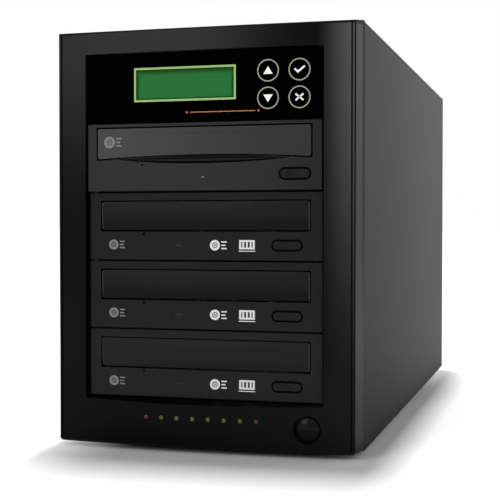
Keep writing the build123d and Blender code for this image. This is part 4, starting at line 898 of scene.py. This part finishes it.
@dataclass
class ControlPanel:
    """What shows on the control panel: display, border, keys, signs and a stripe."""

    print_t: float = 0.06 * MM
    lcd_x: float = -11.05 * MM
    lcd_up: float = 23.05 * MM
    border_w: float = 65.0 * MM
    border_h: float = 20.8 * MM
    border_line: float = 1.2 * MM
    view_w: float = 63.4 * MM
    view_h: float = 19.2 * MM
    glass_y: Span = (PANEL_Y - 0.03 * MM, PANEL_Y + 0.3 * MM)
    glass_plain: Colour = (0.022, 0.175, 0.045)
    glass_green: Colour = (0.0195, 0.160, 0.040)
    glass_shade: Colour = (0.0065, 0.046, 0.0015)
    shade_left: Span = (0.3 * MM, 3.4 * MM)
    shade_right: Span = (0.2 * MM, 2.4 * MM)
    shade_top: Span = (0.4 * MM, 4.2 * MM)
    shade_foot: Span = (0.1 * MM, 1.5 * MM)
    key_r: float = 5.75 * MM
    key_edge: float = 0.35 * MM
    flange_r: float = 6.65 * MM
    flange_y: Span = (PANEL_Y + 3.3 * MM, PANEL_Y + 4.1 * MM)
    stem_r: float = 2.0 * MM
    ring_outer: float = 6.66 * MM
    ring_inner: float = 5.98 * MM
    key_xs: Span = (41.4 * MM, 60.6 * MM)
    key_ups: Span = (29.2 * MM, 12.9 * MM)
    stripe_x: float = 13.0 * MM
    stripe_up: float = 5.6 * MM
    stripe_w: float = 41.0 * MM
    stripe_line: float = 0.45 * MM
    dot_xs: Span = (-9.5 * MM, 35.5 * MM)
    dot: float = 1.1 * MM

    def glass_tint(self, graph: Graph) -> Signal:
        """Green glass, with painted shade where the window's edges stand over it.

        Args:
            graph: The material's graph.

        Returns:
            The colour.
        """
        x, _, z = graph.place()
        middle_z = bay_floor(PANEL_BAY) + self.lcd_up
        half_w, half_h = self.border_w / 2 - self.border_line, self.border_h / 2 - self.border_line
        from_left = (x - (self.lcd_x - half_w)).ramp(*self.shade_left)
        from_right = ((self.lcd_x + half_w) - x).ramp(*self.shade_right)
        from_top = ((middle_z + half_h) - z).ramp(*self.shade_top)
        from_foot = (z - (middle_z - half_h)).ramp(*self.shade_foot)
        open_part = from_left.least(from_right).least(from_top).least(from_foot)
        return graph.blend(open_part, self.glass_shade, self.glass_green)

    def display(self) -> None:
        """Adds the glass and its border."""
        x, z = self.lcd_x, bay_floor(PANEL_BAY) + self.lcd_up
        glass = Finish("display_glass", self.glass_plain, 0.30, specular=0.02, tint=self.glass_tint)
        pane = rectangle(x, z, self.view_w, self.view_h)
        flat("display_glass", self.glass_y, glass, plates=[pane])
        outer = rectangle(x, z, self.border_w, self.border_h)
        inner = rectangle(x, z, self.border_w - 2 * self.border_line, self.border_h - 2 * self.border_line)
        flat("display_border", skin(PANEL_Y, self.print_t), Mark.LCD_LINE.value, rings=[(outer, inner)])

    def key(self, key: Key) -> None:
        """Adds one key with its sign, and its ring on the panel.

        Args:
            key: Which key.
        """
        name, column, row, outlines = key.value
        x, z = self.key_xs[column], bay_floor(PANEL_BAY) + self.key_ups[row]
        low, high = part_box(name)
        near, far = self.flange_y
        cap = Form()
        cap.turned(
            [
                (self.key_r - self.key_edge, low.y),
                (self.key_r, low.y + self.key_edge),
                (self.key_r, near),
                (self.flange_r, near),
                (self.flange_r, far),
                (self.stem_r, far),
                (self.stem_r, high.y),
            ],
            (x, z),
        )
        attach(cap.object(f"{name}_cap", True), Bezel.KEY.value, name, (name,))
        ring = (circle(x, z, self.ring_outer), circle(x, z, self.ring_inner))
        flat(f"{name}_ring", skin(PANEL_Y, self.print_t), Mark.KEY_LINE.value, rings=[ring])
        sign = [[(x + dx * MM, z + dz * MM) for dx, dz in outline] for outline in outlines]
        flat(f"{name}_symbol", skin(low.y, self.print_t), Mark.WHITE.value, name, plates=sign)

    def pinstripe(self) -> None:
        """Adds a plain stripe with a dot at each end under the display."""
        z = bay_floor(PANEL_BAY) + self.stripe_up
        stripe = rectangle(self.stripe_x, z, self.stripe_w, self.stripe_line)
        dots = [rectangle(x, z, self.dot, self.dot) for x in self.dot_xs]
        flat("panel_pinstripe", skin(PANEL_Y, self.print_t), Mark.AMBER.value, plates=[stripe, *dots])

    def build(self) -> None:
        """Adds everything on the panel."""
        self.display()
        for key in Key:
            self.key(key)
        self.pinstripe()


@dataclass
class DriveFront:
    """Small things on one drive's front.

    Attributes:
        name: The drive's name.
        bay: Its bay.
        face: Y of its face.
        lamp_x: X of its activity lamp.
        lamp_up: Height of the lamp over the bay's floor.
        spot: Width and height of the reader's lamp.
        window: Width and height of a writer's lamp.
        disc_hole: Radius of the hole in the disc mark's ring, as a share of the disc's.
        disc_hub: Outer and inner radius of its hub, likewise.
        bars: Height of each bar beside the disc, as a share of its radius, and the bar's length.
        bar_line: Height of a bar, likewise.
        block_rim: Width of the block mark's rim at its sides, and at its top and foot.
        gap: What the painted shade round the eject button adds to its size at its inner and outer edge.
        rim: What the painted shade along the button's rim takes off its size at its outer and inner edge.
    """

    name: str
    bay: int
    face: float
    lamp_x: float
    lamp_up: float
    print_t: float = 0.05 * MM
    spot: Span = (1.3 * MM, 0.8 * MM)
    window: Span = (4.6 * MM, 0.7 * MM)
    disc_hole: float = 0.52
    disc_hub: Span = (0.36, 0.16)
    bars: tuple[Span, ...] = ((0.62, 3.4 * MM), (0.0, 2.6 * MM), (-0.62, 3.4 * MM))
    bar_line: float = 0.26
    bar_gap: float = 0.9 * MM
    block: Span = (9.8 * MM, 5.6 * MM)
    block_rim: Span = (1.3 * MM, 1.1 * MM)
    slat_w: float = 1.1 * MM
    slat_pitch: float = 2.3 * MM
    underline: Span = (10.4 * MM, 0.5 * MM)
    underline_drop: float = 1.1 * MM
    gap: Span = (0.1 * MM, 0.8 * MM)
    rim: Span = (0.1 * MM, 1.7 * MM)
    disc_sides: int = 48
    hub_sides: int = 32

    def lamp(self) -> None:
        """Adds the activity lamp."""
        size, mark = (self.spot, Mark.SPOT) if self.name == "reader" else (self.window, Mark.WINDOW)
        pane = rectangle(self.lamp_x, bay_floor(self.bay) + self.lamp_up, *size)
        flat(f"{self.name}_lamp", skin(self.face, self.print_t), mark.value, plates=[pane])

    def disc_mark(self, x: float, up: float, radius: float, mark: Mark, body: str = CHASSIS) -> None:
        """Adds a plain round disc with three short bars beside it.

        Args:
            x: Its left end.
            up: Its height over the bay's floor.
            radius: The disc's radius.
            mark: Its print.
            body: The body it is printed on.
        """
        middle, z = x + radius, bay_floor(self.bay) + up
        disc = tuple(circle(middle, z, radius * share, self.disc_sides) for share in (1.0, self.disc_hole))
        hub = tuple(circle(middle, z, radius * share, self.hub_sides) for share in self.disc_hub)
        start, line = x + 2 * radius + self.bar_gap, radius * self.bar_line
        bars = [rectangle(start + bar / 2, z + level * radius, bar, line) for level, bar in self.bars]
        name = f"{self.name}_disc_mark_{round(x / MM) + 100}"
        flat(name, skin(self.face, self.print_t), mark.value, body, plates=bars, rings=[disc, hub])

    def block_mark(self, x: float, up: float, mark: Mark) -> None:
        """Adds a plain block with four gaps, and a thin line under it.

        Args:
            x: Its middle.
            up: The block's middle over the bay's floor.
            mark: Its print.
        """
        z = bay_floor(self.bay) + up
        width, height = self.block
        side, top = self.block_rim
        rim = (rectangle(x, z, width, height), rectangle(x, z, width - 2 * side, height - 2 * top))
        slats = [rectangle(x + i * self.slat_pitch, z, self.slat_w, height - 2 * top) for i in (-1, 0, 1)]
        line = rectangle(x, z - height / 2 - self.underline_drop, *self.underline)
        name = f"{self.name}_block_mark"
        flat(name, skin(self.face, self.print_t), mark.value, plates=[*slats, line], rings=[rim])

    def eject_edges(self, x: float, up: float, width: float, height: float) -> None:
        """Adds painted shade in the gap round the eject button and along the rim on it.

        Args:
            x: The button's middle.
            up: Its height over the bay's floor.
            width: The button's width.
            height: Its height.
        """
        button = f"{self.name}_eject_button"
        z = bay_floor(self.bay) + up
        # Painted shade in the gap round the button.
        inner, outer = (pill(x, z, width + more, height + more) for more in self.gap)
        gap_shade_name = f"{self.name}_eject_gap_shade"
        flat(gap_shade_name, skin(self.face, self.print_t), Bezel.GAP.value, rings=[(outer, inner)])
        # Painted shade along the button's rim.
        rim = tuple(pill(x, z, width - less, height - less) for less in self.rim)
        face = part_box(button)[0].y
        flat(f"{button}_rim", skin(face, self.print_t), Bezel.RIM.value, button, rings=[rim])

    def build(self) -> None:
        """Adds the lamp, the button's edges and the marks."""
        self.lamp()
        if self.name == "reader":
            self.eject_edges(x=57.9 * MM, up=10.1 * MM, width=19.3 * MM, height=7.0 * MM)
            self.disc_mark(x=-63.5 * MM, up=30.6 * MM, radius=3.6 * MM, mark=Mark.GREY, body="reader_tray")
            return
        self.eject_edges(x=52.5 * MM, up=9.6 * MM, width=18.7 * MM, height=6.4 * MM)
        self.disc_mark(x=-61.5 * MM, up=9.8 * MM, radius=3.1 * MM, mark=Mark.GREY)
        self.disc_mark(x=4.2 * MM, up=9.6 * MM, radius=3.2 * MM, mark=Mark.PALE)
        self.block_mark(x=27.6 * MM, up=10.0 * MM, mark=Mark.PALE)


@dataclass
class WriterDoor:
    """One writer's tray door with its soft edges.

    Attributes:
        name: The drive's name.
        bay: Its bay.
        low: Height of its foot over the bay's floor.
        high: Height of its top.
        line: Height of the line below which its face leans back.
        rake: How far it leans back at its foot.
        corner: Radius of its corners.
        edge: Radius of its soft front edge.
        steps: Points round each corner.
    """

    name: str
    bay: int
    width: float = 132.9 * MM
    low: float = 18.4 * MM
    high: float = 36.5 * MM
    line: float = 26.5 * MM
    rake: float = 1.3 * MM
    corner: float = 1.6 * MM
    least_corner: float = 0.3 * MM
    edge: float = 0.6 * MM
    steps: int = 7
    edge_degrees: tuple[float, ...] = (0.0, 30.0, 60.0, 90.0)

    def arc(self, x: float, up: float, radius: float, turn: float) -> Outline:
        """Points round one corner, from a turn in degrees on."""
        angles = [math.radians(a) for a in spread(turn, turn + 90, self.steps - 1)]
        return [(x + radius * math.cos(a), up + radius * math.sin(a)) for a in angles]

    def outline(self, inset: float) -> Outline:
        """The door's edge with a point on each side where the face begins to lean.

        Args:
            inset: How far the edge is let in.

        Returns:
            The edge in X and height, anticlockwise seen from the front.
        """
        radius = max(self.corner - inset, self.least_corner)
        half = self.width / 2 - inset
        right, low, high = half - radius, self.low + inset + radius, self.high - inset - radius
        points = [*self.arc(right, low, radius, -90), (half, self.line)]
        points += [*self.arc(right, high, radius, 0), *self.arc(-right, high, radius, 90)]
        return [*points, (-half, self.line), *self.arc(-right, low, radius, 180)]

    def depth(self, up: float) -> float:
        """How far the raked face lies back at a height."""
        return self.rake * max(0.0, self.line - up) / (self.line - self.low)

    def build(self) -> None:
        """Adds the door: its back, its soft edge and the two parts of its face."""
        node = f"{self.name}_tray_door"
        low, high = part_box(node)
        floor = bay_floor(self.bay)
        form = Form()
        loops = [form.loop((x, high.y, floor + up) for x, up in self.outline(0.0))]
        for angle in self.edge_degrees:
            turn = math.radians(angle)
            inset, back = self.edge * (1 - math.cos(turn)), self.edge * (1 - math.sin(turn))
            outline = self.outline(inset)
            loops.append(form.loop((x, low.y + back + self.depth(up), floor + up) for x, up in outline))
        for far, near in zip(loops, loops[1:]):
            form.bridge(far, near)
        form.fill(loops[0], True)
        face = loops[-1]
        right, left = self.steps, 3 * self.steps + 1
        form.fill(face[right : left + 1])
        form.fill(face[left:] + face[: right + 1])
        door = form.object(f"{node}_soft", True)
        attach(door, Bezel.WRITER_DOOR.value, f"{self.name}_tray", (node,))


@dataclass
class ReaderDoor:
    """The raised line on the reader's door, and painted shade in the gap round the door.

    Attributes:
        door_half: Half of the door's width.
        door_low: Height of its foot over the bay's floor, at its ends.
        door_high: Height of its top.
        arch: How far the foot rises at its middle.
        scoop_half: Half of the recess's width, where the gap under the door ends.
        gap: Inner and outer edge of the painted shade in the gap, from the door's.
        line_half: Half of the raised line's length.
        line_x: Its middle.
        line_up: Height of its ends.
        line_sag: How far it hangs at its middle.
        line_h: Its height.
    """

    door_half: float = 67.6 * MM
    door_low: float = 20.3 * MM
    door_high: float = 38.9 * MM
    arch: float = 2.2 * MM
    scoop_half: float = 57.0 * MM
    gap: Span = (0.08 * MM, 0.95 * MM)
    gap_t: float = 0.05 * MM
    gap_steps: int = 6
    line_half: float = 47.0 * MM
    line_x: float = 3.8 * MM
    line_up: float = 36.4 * MM
    line_sag: float = 1.1 * MM
    line_h: float = 0.5 * MM
    line_t: float = 0.15 * MM
    line_steps: int = 24

    def foot(self, x: float) -> float:
        """Height of the door's foot at a distance from its middle."""
        return bay_floor(READER_BAY) + self.door_low + self.arch * max(0.0, 1 - (x / self.door_half) ** 2)

    def line(self, x: float) -> float:
        """Height of the raised line's middle."""
        share = (x - self.line_x) / self.line_half
        return bay_floor(READER_BAY) + self.line_up - self.line_sag * (1 - share * share)

    def door_gap_shade(self) -> None:
        """Adds painted shade in the gap over and beside the door, and under its ends as far as the recess."""
        near, far = self.gap
        middle, width = (near + far) / 2, far - near
        low, high = (bay_floor(READER_BAY) + up for up in (self.door_low, self.door_high))
        plates = [rectangle(0.0, high + middle, 2 * (self.door_half + far), width)]
        for side in (-1, 1):
            upright = side * (self.door_half + middle)
            plates.append(rectangle(upright, (low + high - width) / 2, width, high - low + near + far))
            xs = sorted(side * x for x in spread(self.scoop_half, self.door_half + near, self.gap_steps))
            plates.append(between(xs, lambda x: self.foot(x) - far, lambda x: self.foot(x) - near))
        flat("reader_door_gap_shade", skin(PANEL_Y, self.gap_t), Bezel.GAP.value, plates=plates)

    def build(self) -> None:
        """Adds the painted shade of the gap and the raised line."""
        self.door_gap_shade()
        xs = spread(self.line_x - self.line_half, self.line_x + self.line_half, self.line_steps)
        half = self.line_h / 2
        ridge = between(xs, lambda x: self.line(x) - half, lambda x: self.line(x) + half)
        y = skin(PANEL_Y, self.line_t)
        flat("reader_door_line", y, Bezel.READER_DOOR.value, "reader_tray", plates=[ridge])


@dataclass
class FingerRecess:
    """Painted shade and a painted highlight inside the lens-shaped recess under the reader's door, and a
    painted shadow along its lower edge.

    Attributes:
        half: Half of the recess's width.
        edge_up: Height of its two ends over the bay's floor.
        arch: How far its top rises at its middle.
        fall: How far its foot hangs.
        depth: How deep its floor lies.
        gap: What stays free under the door.
        gap_taper: How quickly that grows from the ends.
        rim: Height of the painted shadow along the lower edge.
        rim_taper: How quickly that grows from the ends.
        reach: Share of the width that the painted bands take.
        rim_reach: Share that the painted shadow takes.
    """

    half: float = 57.0 * MM
    edge_up: float = 20.3 * MM
    arch: float = 2.2 * MM
    fall: float = 2.9 * MM
    depth: float = 1.2 * MM
    gap: float = 0.65 * MM
    gap_taper: float = 4.0
    rim: float = 0.42 * MM
    rim_taper: float = 2.5
    reach: float = 0.97
    rim_reach: float = 0.98
    steps: int = 32
    print_t: float = 0.05 * MM

    def xs(self, reach: float) -> list[float]:
        """Evenly spaced places along a share of the width."""
        return spread(-reach * self.half, reach * self.half, self.steps)

    def bow(self, x: float) -> float:
        """1 at the recess's middle and 0 at its ends."""
        return 1 - (x / self.half) ** 2

    def level(self, x: float, share: float) -> float:
        """Height of a line in the recess.

        Args:
            x: The place along it.
            share: 0 for a line along its top and 1 for one along its foot.

        Returns:
            The height.
        """
        bow = self.bow(x)
        top = self.arch * bow - self.gap * min(1.0, self.gap_taper * bow)
        return bay_floor(READER_BAY) + self.edge_up + top - (top + self.fall * bow) * share

    def below(self, x: float) -> float:
        """Height of the painted shadow's lower side."""
        return self.level(x, 1.0) - self.rim * min(1.0, self.rim_taper * self.bow(x))

    def band(self, name: str, mark: Bezel, top: float, foot: float, lift: float = 0.0) -> None:
        """Adds one painted band in the recess.

        Args:
            name: The piece's name.
            mark: Its finish.
            top: Its upper edge, as a share of the recess from its top.
            foot: Its lower edge, likewise.
            lift: How far it stands off the recess's floor.
        """
        painted_band = between(self.xs(self.reach), lambda x: self.level(x, foot), lambda x: self.level(x, top))
        front, back = skin(PANEL_Y + self.depth, self.print_t)
        flat(name, (front - lift, back), mark.value, plates=[painted_band])

    def build(self) -> None:
        """Adds the painted bands and the painted shadow along the lower edge."""
        # Painted shade fills the recess, with a painted highlight on its lip and a painted shadow under its
        # lower edge.
        self.band("recess_back_shade", Bezel.RECESS, top=0.0, foot=1.0)
        self.band("recess_shelf_shade", Bezel.RECESS_FLOOR, top=0.0, foot=0.40, lift=0.05 * MM)
        self.band("recess_lip", Bezel.RECESS_LIP, top=0.50, foot=0.74, lift=0.05 * MM)
        edge = between(self.xs(self.rim_reach), self.below, lambda x: self.level(x, 1.0))
        flat("recess_edge_shadow", skin(PANEL_Y, self.print_t), Bezel.GAP.value, plates=[edge])


@dataclass
class LowerFront:
    """Status lights and the power button.

    Attributes:
        lens_set: How far a lens's top lies behind the bezel's face.
        lens_h: Height of its dome.
        lens_dome: Each corner of a lens: share of its radius, and share of the dome's height.
        crown_r: Radius of the button's crown, inside its rounded edge.
        dome: Height of the crown.
        flange: How far the hidden flange stands out from the button.
        gap: Inner and outer edge of the painted shade in the gap, from the button's.
        gap_lift: Front and back of that painted shade from the bowed face.
    """

    count: int = 8
    pitch: float = 10.0 * MM
    lens_r: float = 1.5 * MM
    lens_z: float = 21.4 * MM
    lens_set: float = 0.1 * MM
    lens_h: float = 0.5 * MM
    lens_dome: tuple[Span, ...] = ((0.35, 0.96), (0.7, 0.8), (0.92, 0.45), (1.0, 0.0))
    button_x: float = 66.0 * MM
    button_z: float = 17.8 * MM
    button_r: float = 7.4 * MM
    crown_r: float = 7.0 * MM
    dome: float = 1.4 * MM
    crown_steps: int = 12
    edge_steps: int = 8
    flange: float = 1.2 * MM
    flange_t: float = 1.0 * MM
    gap: Span = (0.12 * MM, 0.5 * MM)
    gap_lift: Span = (-0.06 * MM, 0.1 * MM)
    lens_sides: int = 32
    button_sides: int = 96
    gap_sides: int = 72

    def lens(self, form: Form, x: float, back: float) -> None:
        """Adds one lens with a low dome, all but flush with the bezel.

        Args:
            form: The piece it belongs to.
            x: Its middle.
            back: Y of its back.
        """
        face = front_y(x) + self.lens_set
        profile = [(self.lens_r * r, face + (1 - h) * self.lens_h) for r, h in self.lens_dome]
        form.turned([*profile, (self.lens_r, back)], (x, self.lens_z), self.lens_sides)

    def lights(self) -> None:
        """Adds the eight lenses in their three colours."""
        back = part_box("status_leds_red")[1].y
        xs = [(i - (self.count - 1) / 2) * self.pitch for i in range(self.count)]
        groups = (
            ("red", (0, 7), Mark.RED_LENS, "led_red", "status_leds_red"),
            ("lime", (1, 6), Mark.LIME_LENS, "led_green", "status_leds_green"),
            ("clear", (2, 3, 4, 5), Mark.CLEAR_LENS, "led_green", "status_leds_green"),
        )
        for name, members, mark, slot, node in groups:
            form = Form()
            for i in members:
                self.lens(form, xs[i], back)
            attach(form.object(f"status_lenses_{name}", True), mark.value, CHASSIS, (node,))

    def button(self) -> None:
        """Adds the domed power button: crown, rounded edge, side and flange."""
        low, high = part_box("power_button")
        ball = (self.crown_r**2 + self.dome**2) / (2 * self.dome)
        slope = math.asin(self.crown_r / ball)
        crown = spread(0.0, slope, self.crown_steps)[1:]
        profile = [(ball * math.sin(a), low.y + ball * (1 - math.cos(a))) for a in crown]
        round_r = (self.button_r - self.crown_r) / (1 - math.sin(slope))
        middle = low.y + self.dome + round_r * math.cos(slope)
        for a in spread(slope, math.pi / 2, self.edge_steps)[1:]:
            profile.append((self.button_r - round_r * (1 - math.sin(a)), middle - round_r * math.cos(a)))
        near, reach = high.y - self.flange_t, self.button_r + self.flange
        form = Form()
        profile += [(self.button_r, near), (reach, near), (reach, high.y)]
        form.turned(profile, (self.button_x, self.button_z), self.button_sides)
        cap = form.object("power_button_cap", True)
        attach(cap, Bezel.BUTTON.value, "power_button", ("power_button",))

    def button_gap_shade(self) -> None:
        """Adds painted shade in the gap round the power button, on the bowed face."""
        form = Form()
        edges = []
        for more in reversed(self.gap):
            outline = circle(self.button_x, self.button_z, self.button_r + more, self.gap_sides)
            edges += [form.loop((x, front_y(x) + lift, z) for x, z in outline) for lift in self.gap_lift]
        form.ring(*edges)
        attach(form.object("power_button_gap_shade"), Bezel.GAP.value)

    def build(self) -> None:
        """Adds lights and button."""
        self.lights()
        self.button()
        self.button_gap_shade()


@dataclass
class ThumbScrews:
    """Knurled heads of the cover's thumb screws.

    Attributes:
        groove: Radius at the bottom of a knurl, as a share of the head's.
        crown: Radius of the head's end, likewise.
        chamfer: Length of the slope between them.
        places: X and Z of each screw.
    """

    head_r: float = 5.0 * MM
    head_t: float = 5.0 * MM
    shank_r: float = 1.7 * MM
    shank_l: float = 6.0 * MM
    knurls: int = 36
    groove: float = 0.95
    crown: float = 0.88
    chamfer: float = 0.7 * MM
    shank_sides: int = 24
    places: tuple[Place, ...] = ((-90.0 * MM, 130.2 * MM), (90.0 * MM, 130.2 * MM), (0.0, 253.4 * MM))

    def outline(self, x: float, z: float) -> Outline:
        """A head's knurled edge."""
        crests, grooves = (circle(x, z, self.head_r * share, 2 * self.knurls) for share in (1.0, self.groove))
        return [pair[i % 2] for i, pair in enumerate(zip(crests, grooves))]

    def build(self) -> None:
        """Adds the screws."""
        form = Form()
        end = REAR_Y + self.head_t
        for x, z in self.places:
            knurled = self.outline(x, z)
            seat, shoulder = (form.edge(knurled, y) for y in (REAR_Y, end - self.chamfer))
            top = form.edge(circle(x, z, self.head_r * self.crown, 2 * self.knurls), end)
            form.bridge(shoulder, seat)
            form.bridge(top, shoulder)
            form.fill(seat)
            form.fill(top, True)
            shank = [(self.shank_r, REAR_Y - self.shank_l), (self.shank_r, REAR_Y)]
            form.turned(shank, (x, z), self.shank_sides)
        attach(form.object("knurled_screws"), Metal.SCREW.value, CHASSIS, ("thumb_screws",))


# Lamps, floor and camera


@dataclass
class Softbox:
    """One soft lamp with a rectangular face.

    Attributes:
        name: Its name.
        place: Where it hangs.
        aim: The point it faces.
        size: Its width and its height.
        watts: Its power.
        mirrored: Whether glossy surfaces show it.
    """

    name: str
    place: Point
    aim: Point
    size: Span
    watts: float
    mirrored: bool = True

    def build(self) -> None:
        """Adds the lamp."""
        lamp = bpy.data.lights.new(self.name, "AREA")
        lamp.shape = "RECTANGLE"
        lamp.size, lamp.size_y = self.size
        lamp.energy = self.watts
        made = bpy.data.objects.new(self.name, lamp)
        made.location = self.place
        made.rotation_euler = (Vector(self.aim) - Vector(self.place)).to_track_quat("-Z", "Y").to_euler()
        made.visible_glossy = self.mirrored
        bpy.context.scene.collection.objects.link(made)


@dataclass
class Studio:
    """Floor, background, lamps and camera.

    Attributes:
        floor_painted_white: Strength of the painted white that covers the floor's shadow away from the
            object.
        floor_fade: Distances from the shaded ground where that painted white begins and where it is full.
        shade_x: Left and right end of the shaded ground.
        shade_y: Front and rear end of it.
        left_haste: How many times sooner the shade ends on the left.
        sky: Strength of the even light all round.
    """

    floor_half: float = 30.0
    floor_colour: Colour = (0.80, 0.80, 0.80)
    floor_painted_white: float = 1.0
    floor_fade: Span = (0.0, 0.36)
    shade_x: Span = (-0.045, 0.100)
    shade_y: Span = (-0.229, 0.060)
    left_haste: float = 3.0
    sky: float = 0.25
    camera_place: Point = (0.21471, -0.88716, 0.13864)
    camera_yaw: float = 0.2715
    camera_dip: float = 0.0212
    lens_mm: float = 82.70
    sensor_mm: float = 36.0
    nearest: float = 0.01

    def floor(self) -> None:
        """Adds the pale floor: painted white covers its shadow away from the object, so it shows as white
        except near it.
        """
        form = Form()
        half = self.floor_half
        form.fill(form.loop((x, y, 0.0) for x, y in rectangle(0.0, 0.0, 2 * half, 2 * half)))
        made = form.object("studio_floor")
        material = bpy.data.materials.new("studio_floor")
        material.use_nodes = True
        graph = Graph(material.node_tree)
        matt = graph.signal("ShaderNodeBsdfDiffuse", {}, {"Color": (*self.floor_colour, 1.0)})
        x, y, _ = graph.place()
        # The shadow stays only near the shaded ground; further out painted white covers it.
        beside = (x - self.shade_x[1]).most((self.shade_x[0] - x) * self.left_haste).most(0.0)
        ahead = (y - self.shade_y[1]).most(self.shade_y[0] - y).most(0.0)
        painted_white_share = ((beside * beside + ahead * ahead) ** 0.5).ramp(*self.floor_fade)
        strength = graph.backdrop_rays() * painted_white_share * self.floor_painted_white
        lift = graph.signal("ShaderNodeEmission", {}, {"Color": (1, 1, 1, 1), "Strength": strength})
        surface = graph.signal("ShaderNodeAddShader", {}, {0: matt, 1: lift})
        graph.node("ShaderNodeOutputMaterial", {}, {"Surface": surface})
        made.data.materials.append(material)

    def world(self) -> None:
        """Sets an even light all round, seen as white by the camera."""
        world = bpy.data.worlds.new("studio")
        bpy.context.scene.world = world
        world.use_nodes = True
        graph = Graph(world.node_tree)
        strength = self.sky + graph.backdrop_rays() * (1.0 - self.sky)
        light = graph.signal("ShaderNodeBackground", {}, {"Color": (1, 1, 1, 1), "Strength": strength})
        graph.node("ShaderNodeOutputWorld", {}, {"Surface": light})

    def lamps(self) -> list[Softbox]:
        """The lamps.

        Returns:
            Each lamp, not yet built.
        """
        return [
            Softbox(
                "overhead",
                place=(-0.05, 0.25, 2.20),
                aim=(-0.05, 0.25, 0.0),
                size=(0.18, 0.60),
                watts=46.0,
                mirrored=False,
            ),
            Softbox(
                "front_left",
                place=(-0.73, -1.79, 0.76),
                aim=(0.0, -0.229, 0.15),
                size=(0.75, 0.80),
                watts=13.0,
            ),
            Softbox(
                "front_right",
                place=(0.95, -1.30, 1.10),
                aim=(0.05, -0.229, 0.13),
                size=(0.30, 0.30),
                watts=3.0,
            ),
            Softbox(
                "right_side",
                place=(1.60, 0.60, 0.50),
                aim=(0.10, 0.05, 0.15),
                size=(0.80, 0.60),
                watts=8.0,
            ),
        ]

    def camera(self) -> None:
        """Adds the camera at the photograph's viewing angle."""
        data = bpy.data.cameras.new("camera")
        data.lens = self.lens_mm
        data.sensor_width = self.sensor_mm
        data.clip_start = self.nearest
        made = bpy.data.objects.new("camera", data)
        made.location = self.camera_place
        made.rotation_euler = (math.pi / 2 - self.camera_dip, 0.0, self.camera_yaw)
        bpy.context.scene.collection.objects.link(made)
        bpy.context.scene.camera = made

    def build(self) -> None:
        """Adds everything round the object."""
        self.camera()
        self.floor()
        self.world()
        for lamp in self.lamps():
            lamp.build()
        bpy.context.scene.view_settings.view_transform = "Standard"


def main() -> None:
    """Builds the scene."""
    logging.basicConfig(level=logging.INFO, format="%(name)s: %(message)s")
    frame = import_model()
    Studio().build()
    FrameFinishes(frame["nodes"]).dress()
    ControlPanel().build()
    DriveFront("reader", READER_BAY, PANEL_Y, lamp_x=0.6 * MM, lamp_up=8.6 * MM).build()
    for number, bay in enumerate(WRITER_BAYS, 1):
        DriveFront(f"writer_{number}", bay, FACE_Y, lamp_x=-15.8 * MM, lamp_up=9.5 * MM).build()
        WriterDoor(f"writer_{number}", bay).build()
    ReaderDoor().build()
    FingerRecess().build()
    LowerFront().build()
    ThumbScrews().build()


if __name__ == "__main__":
    main()
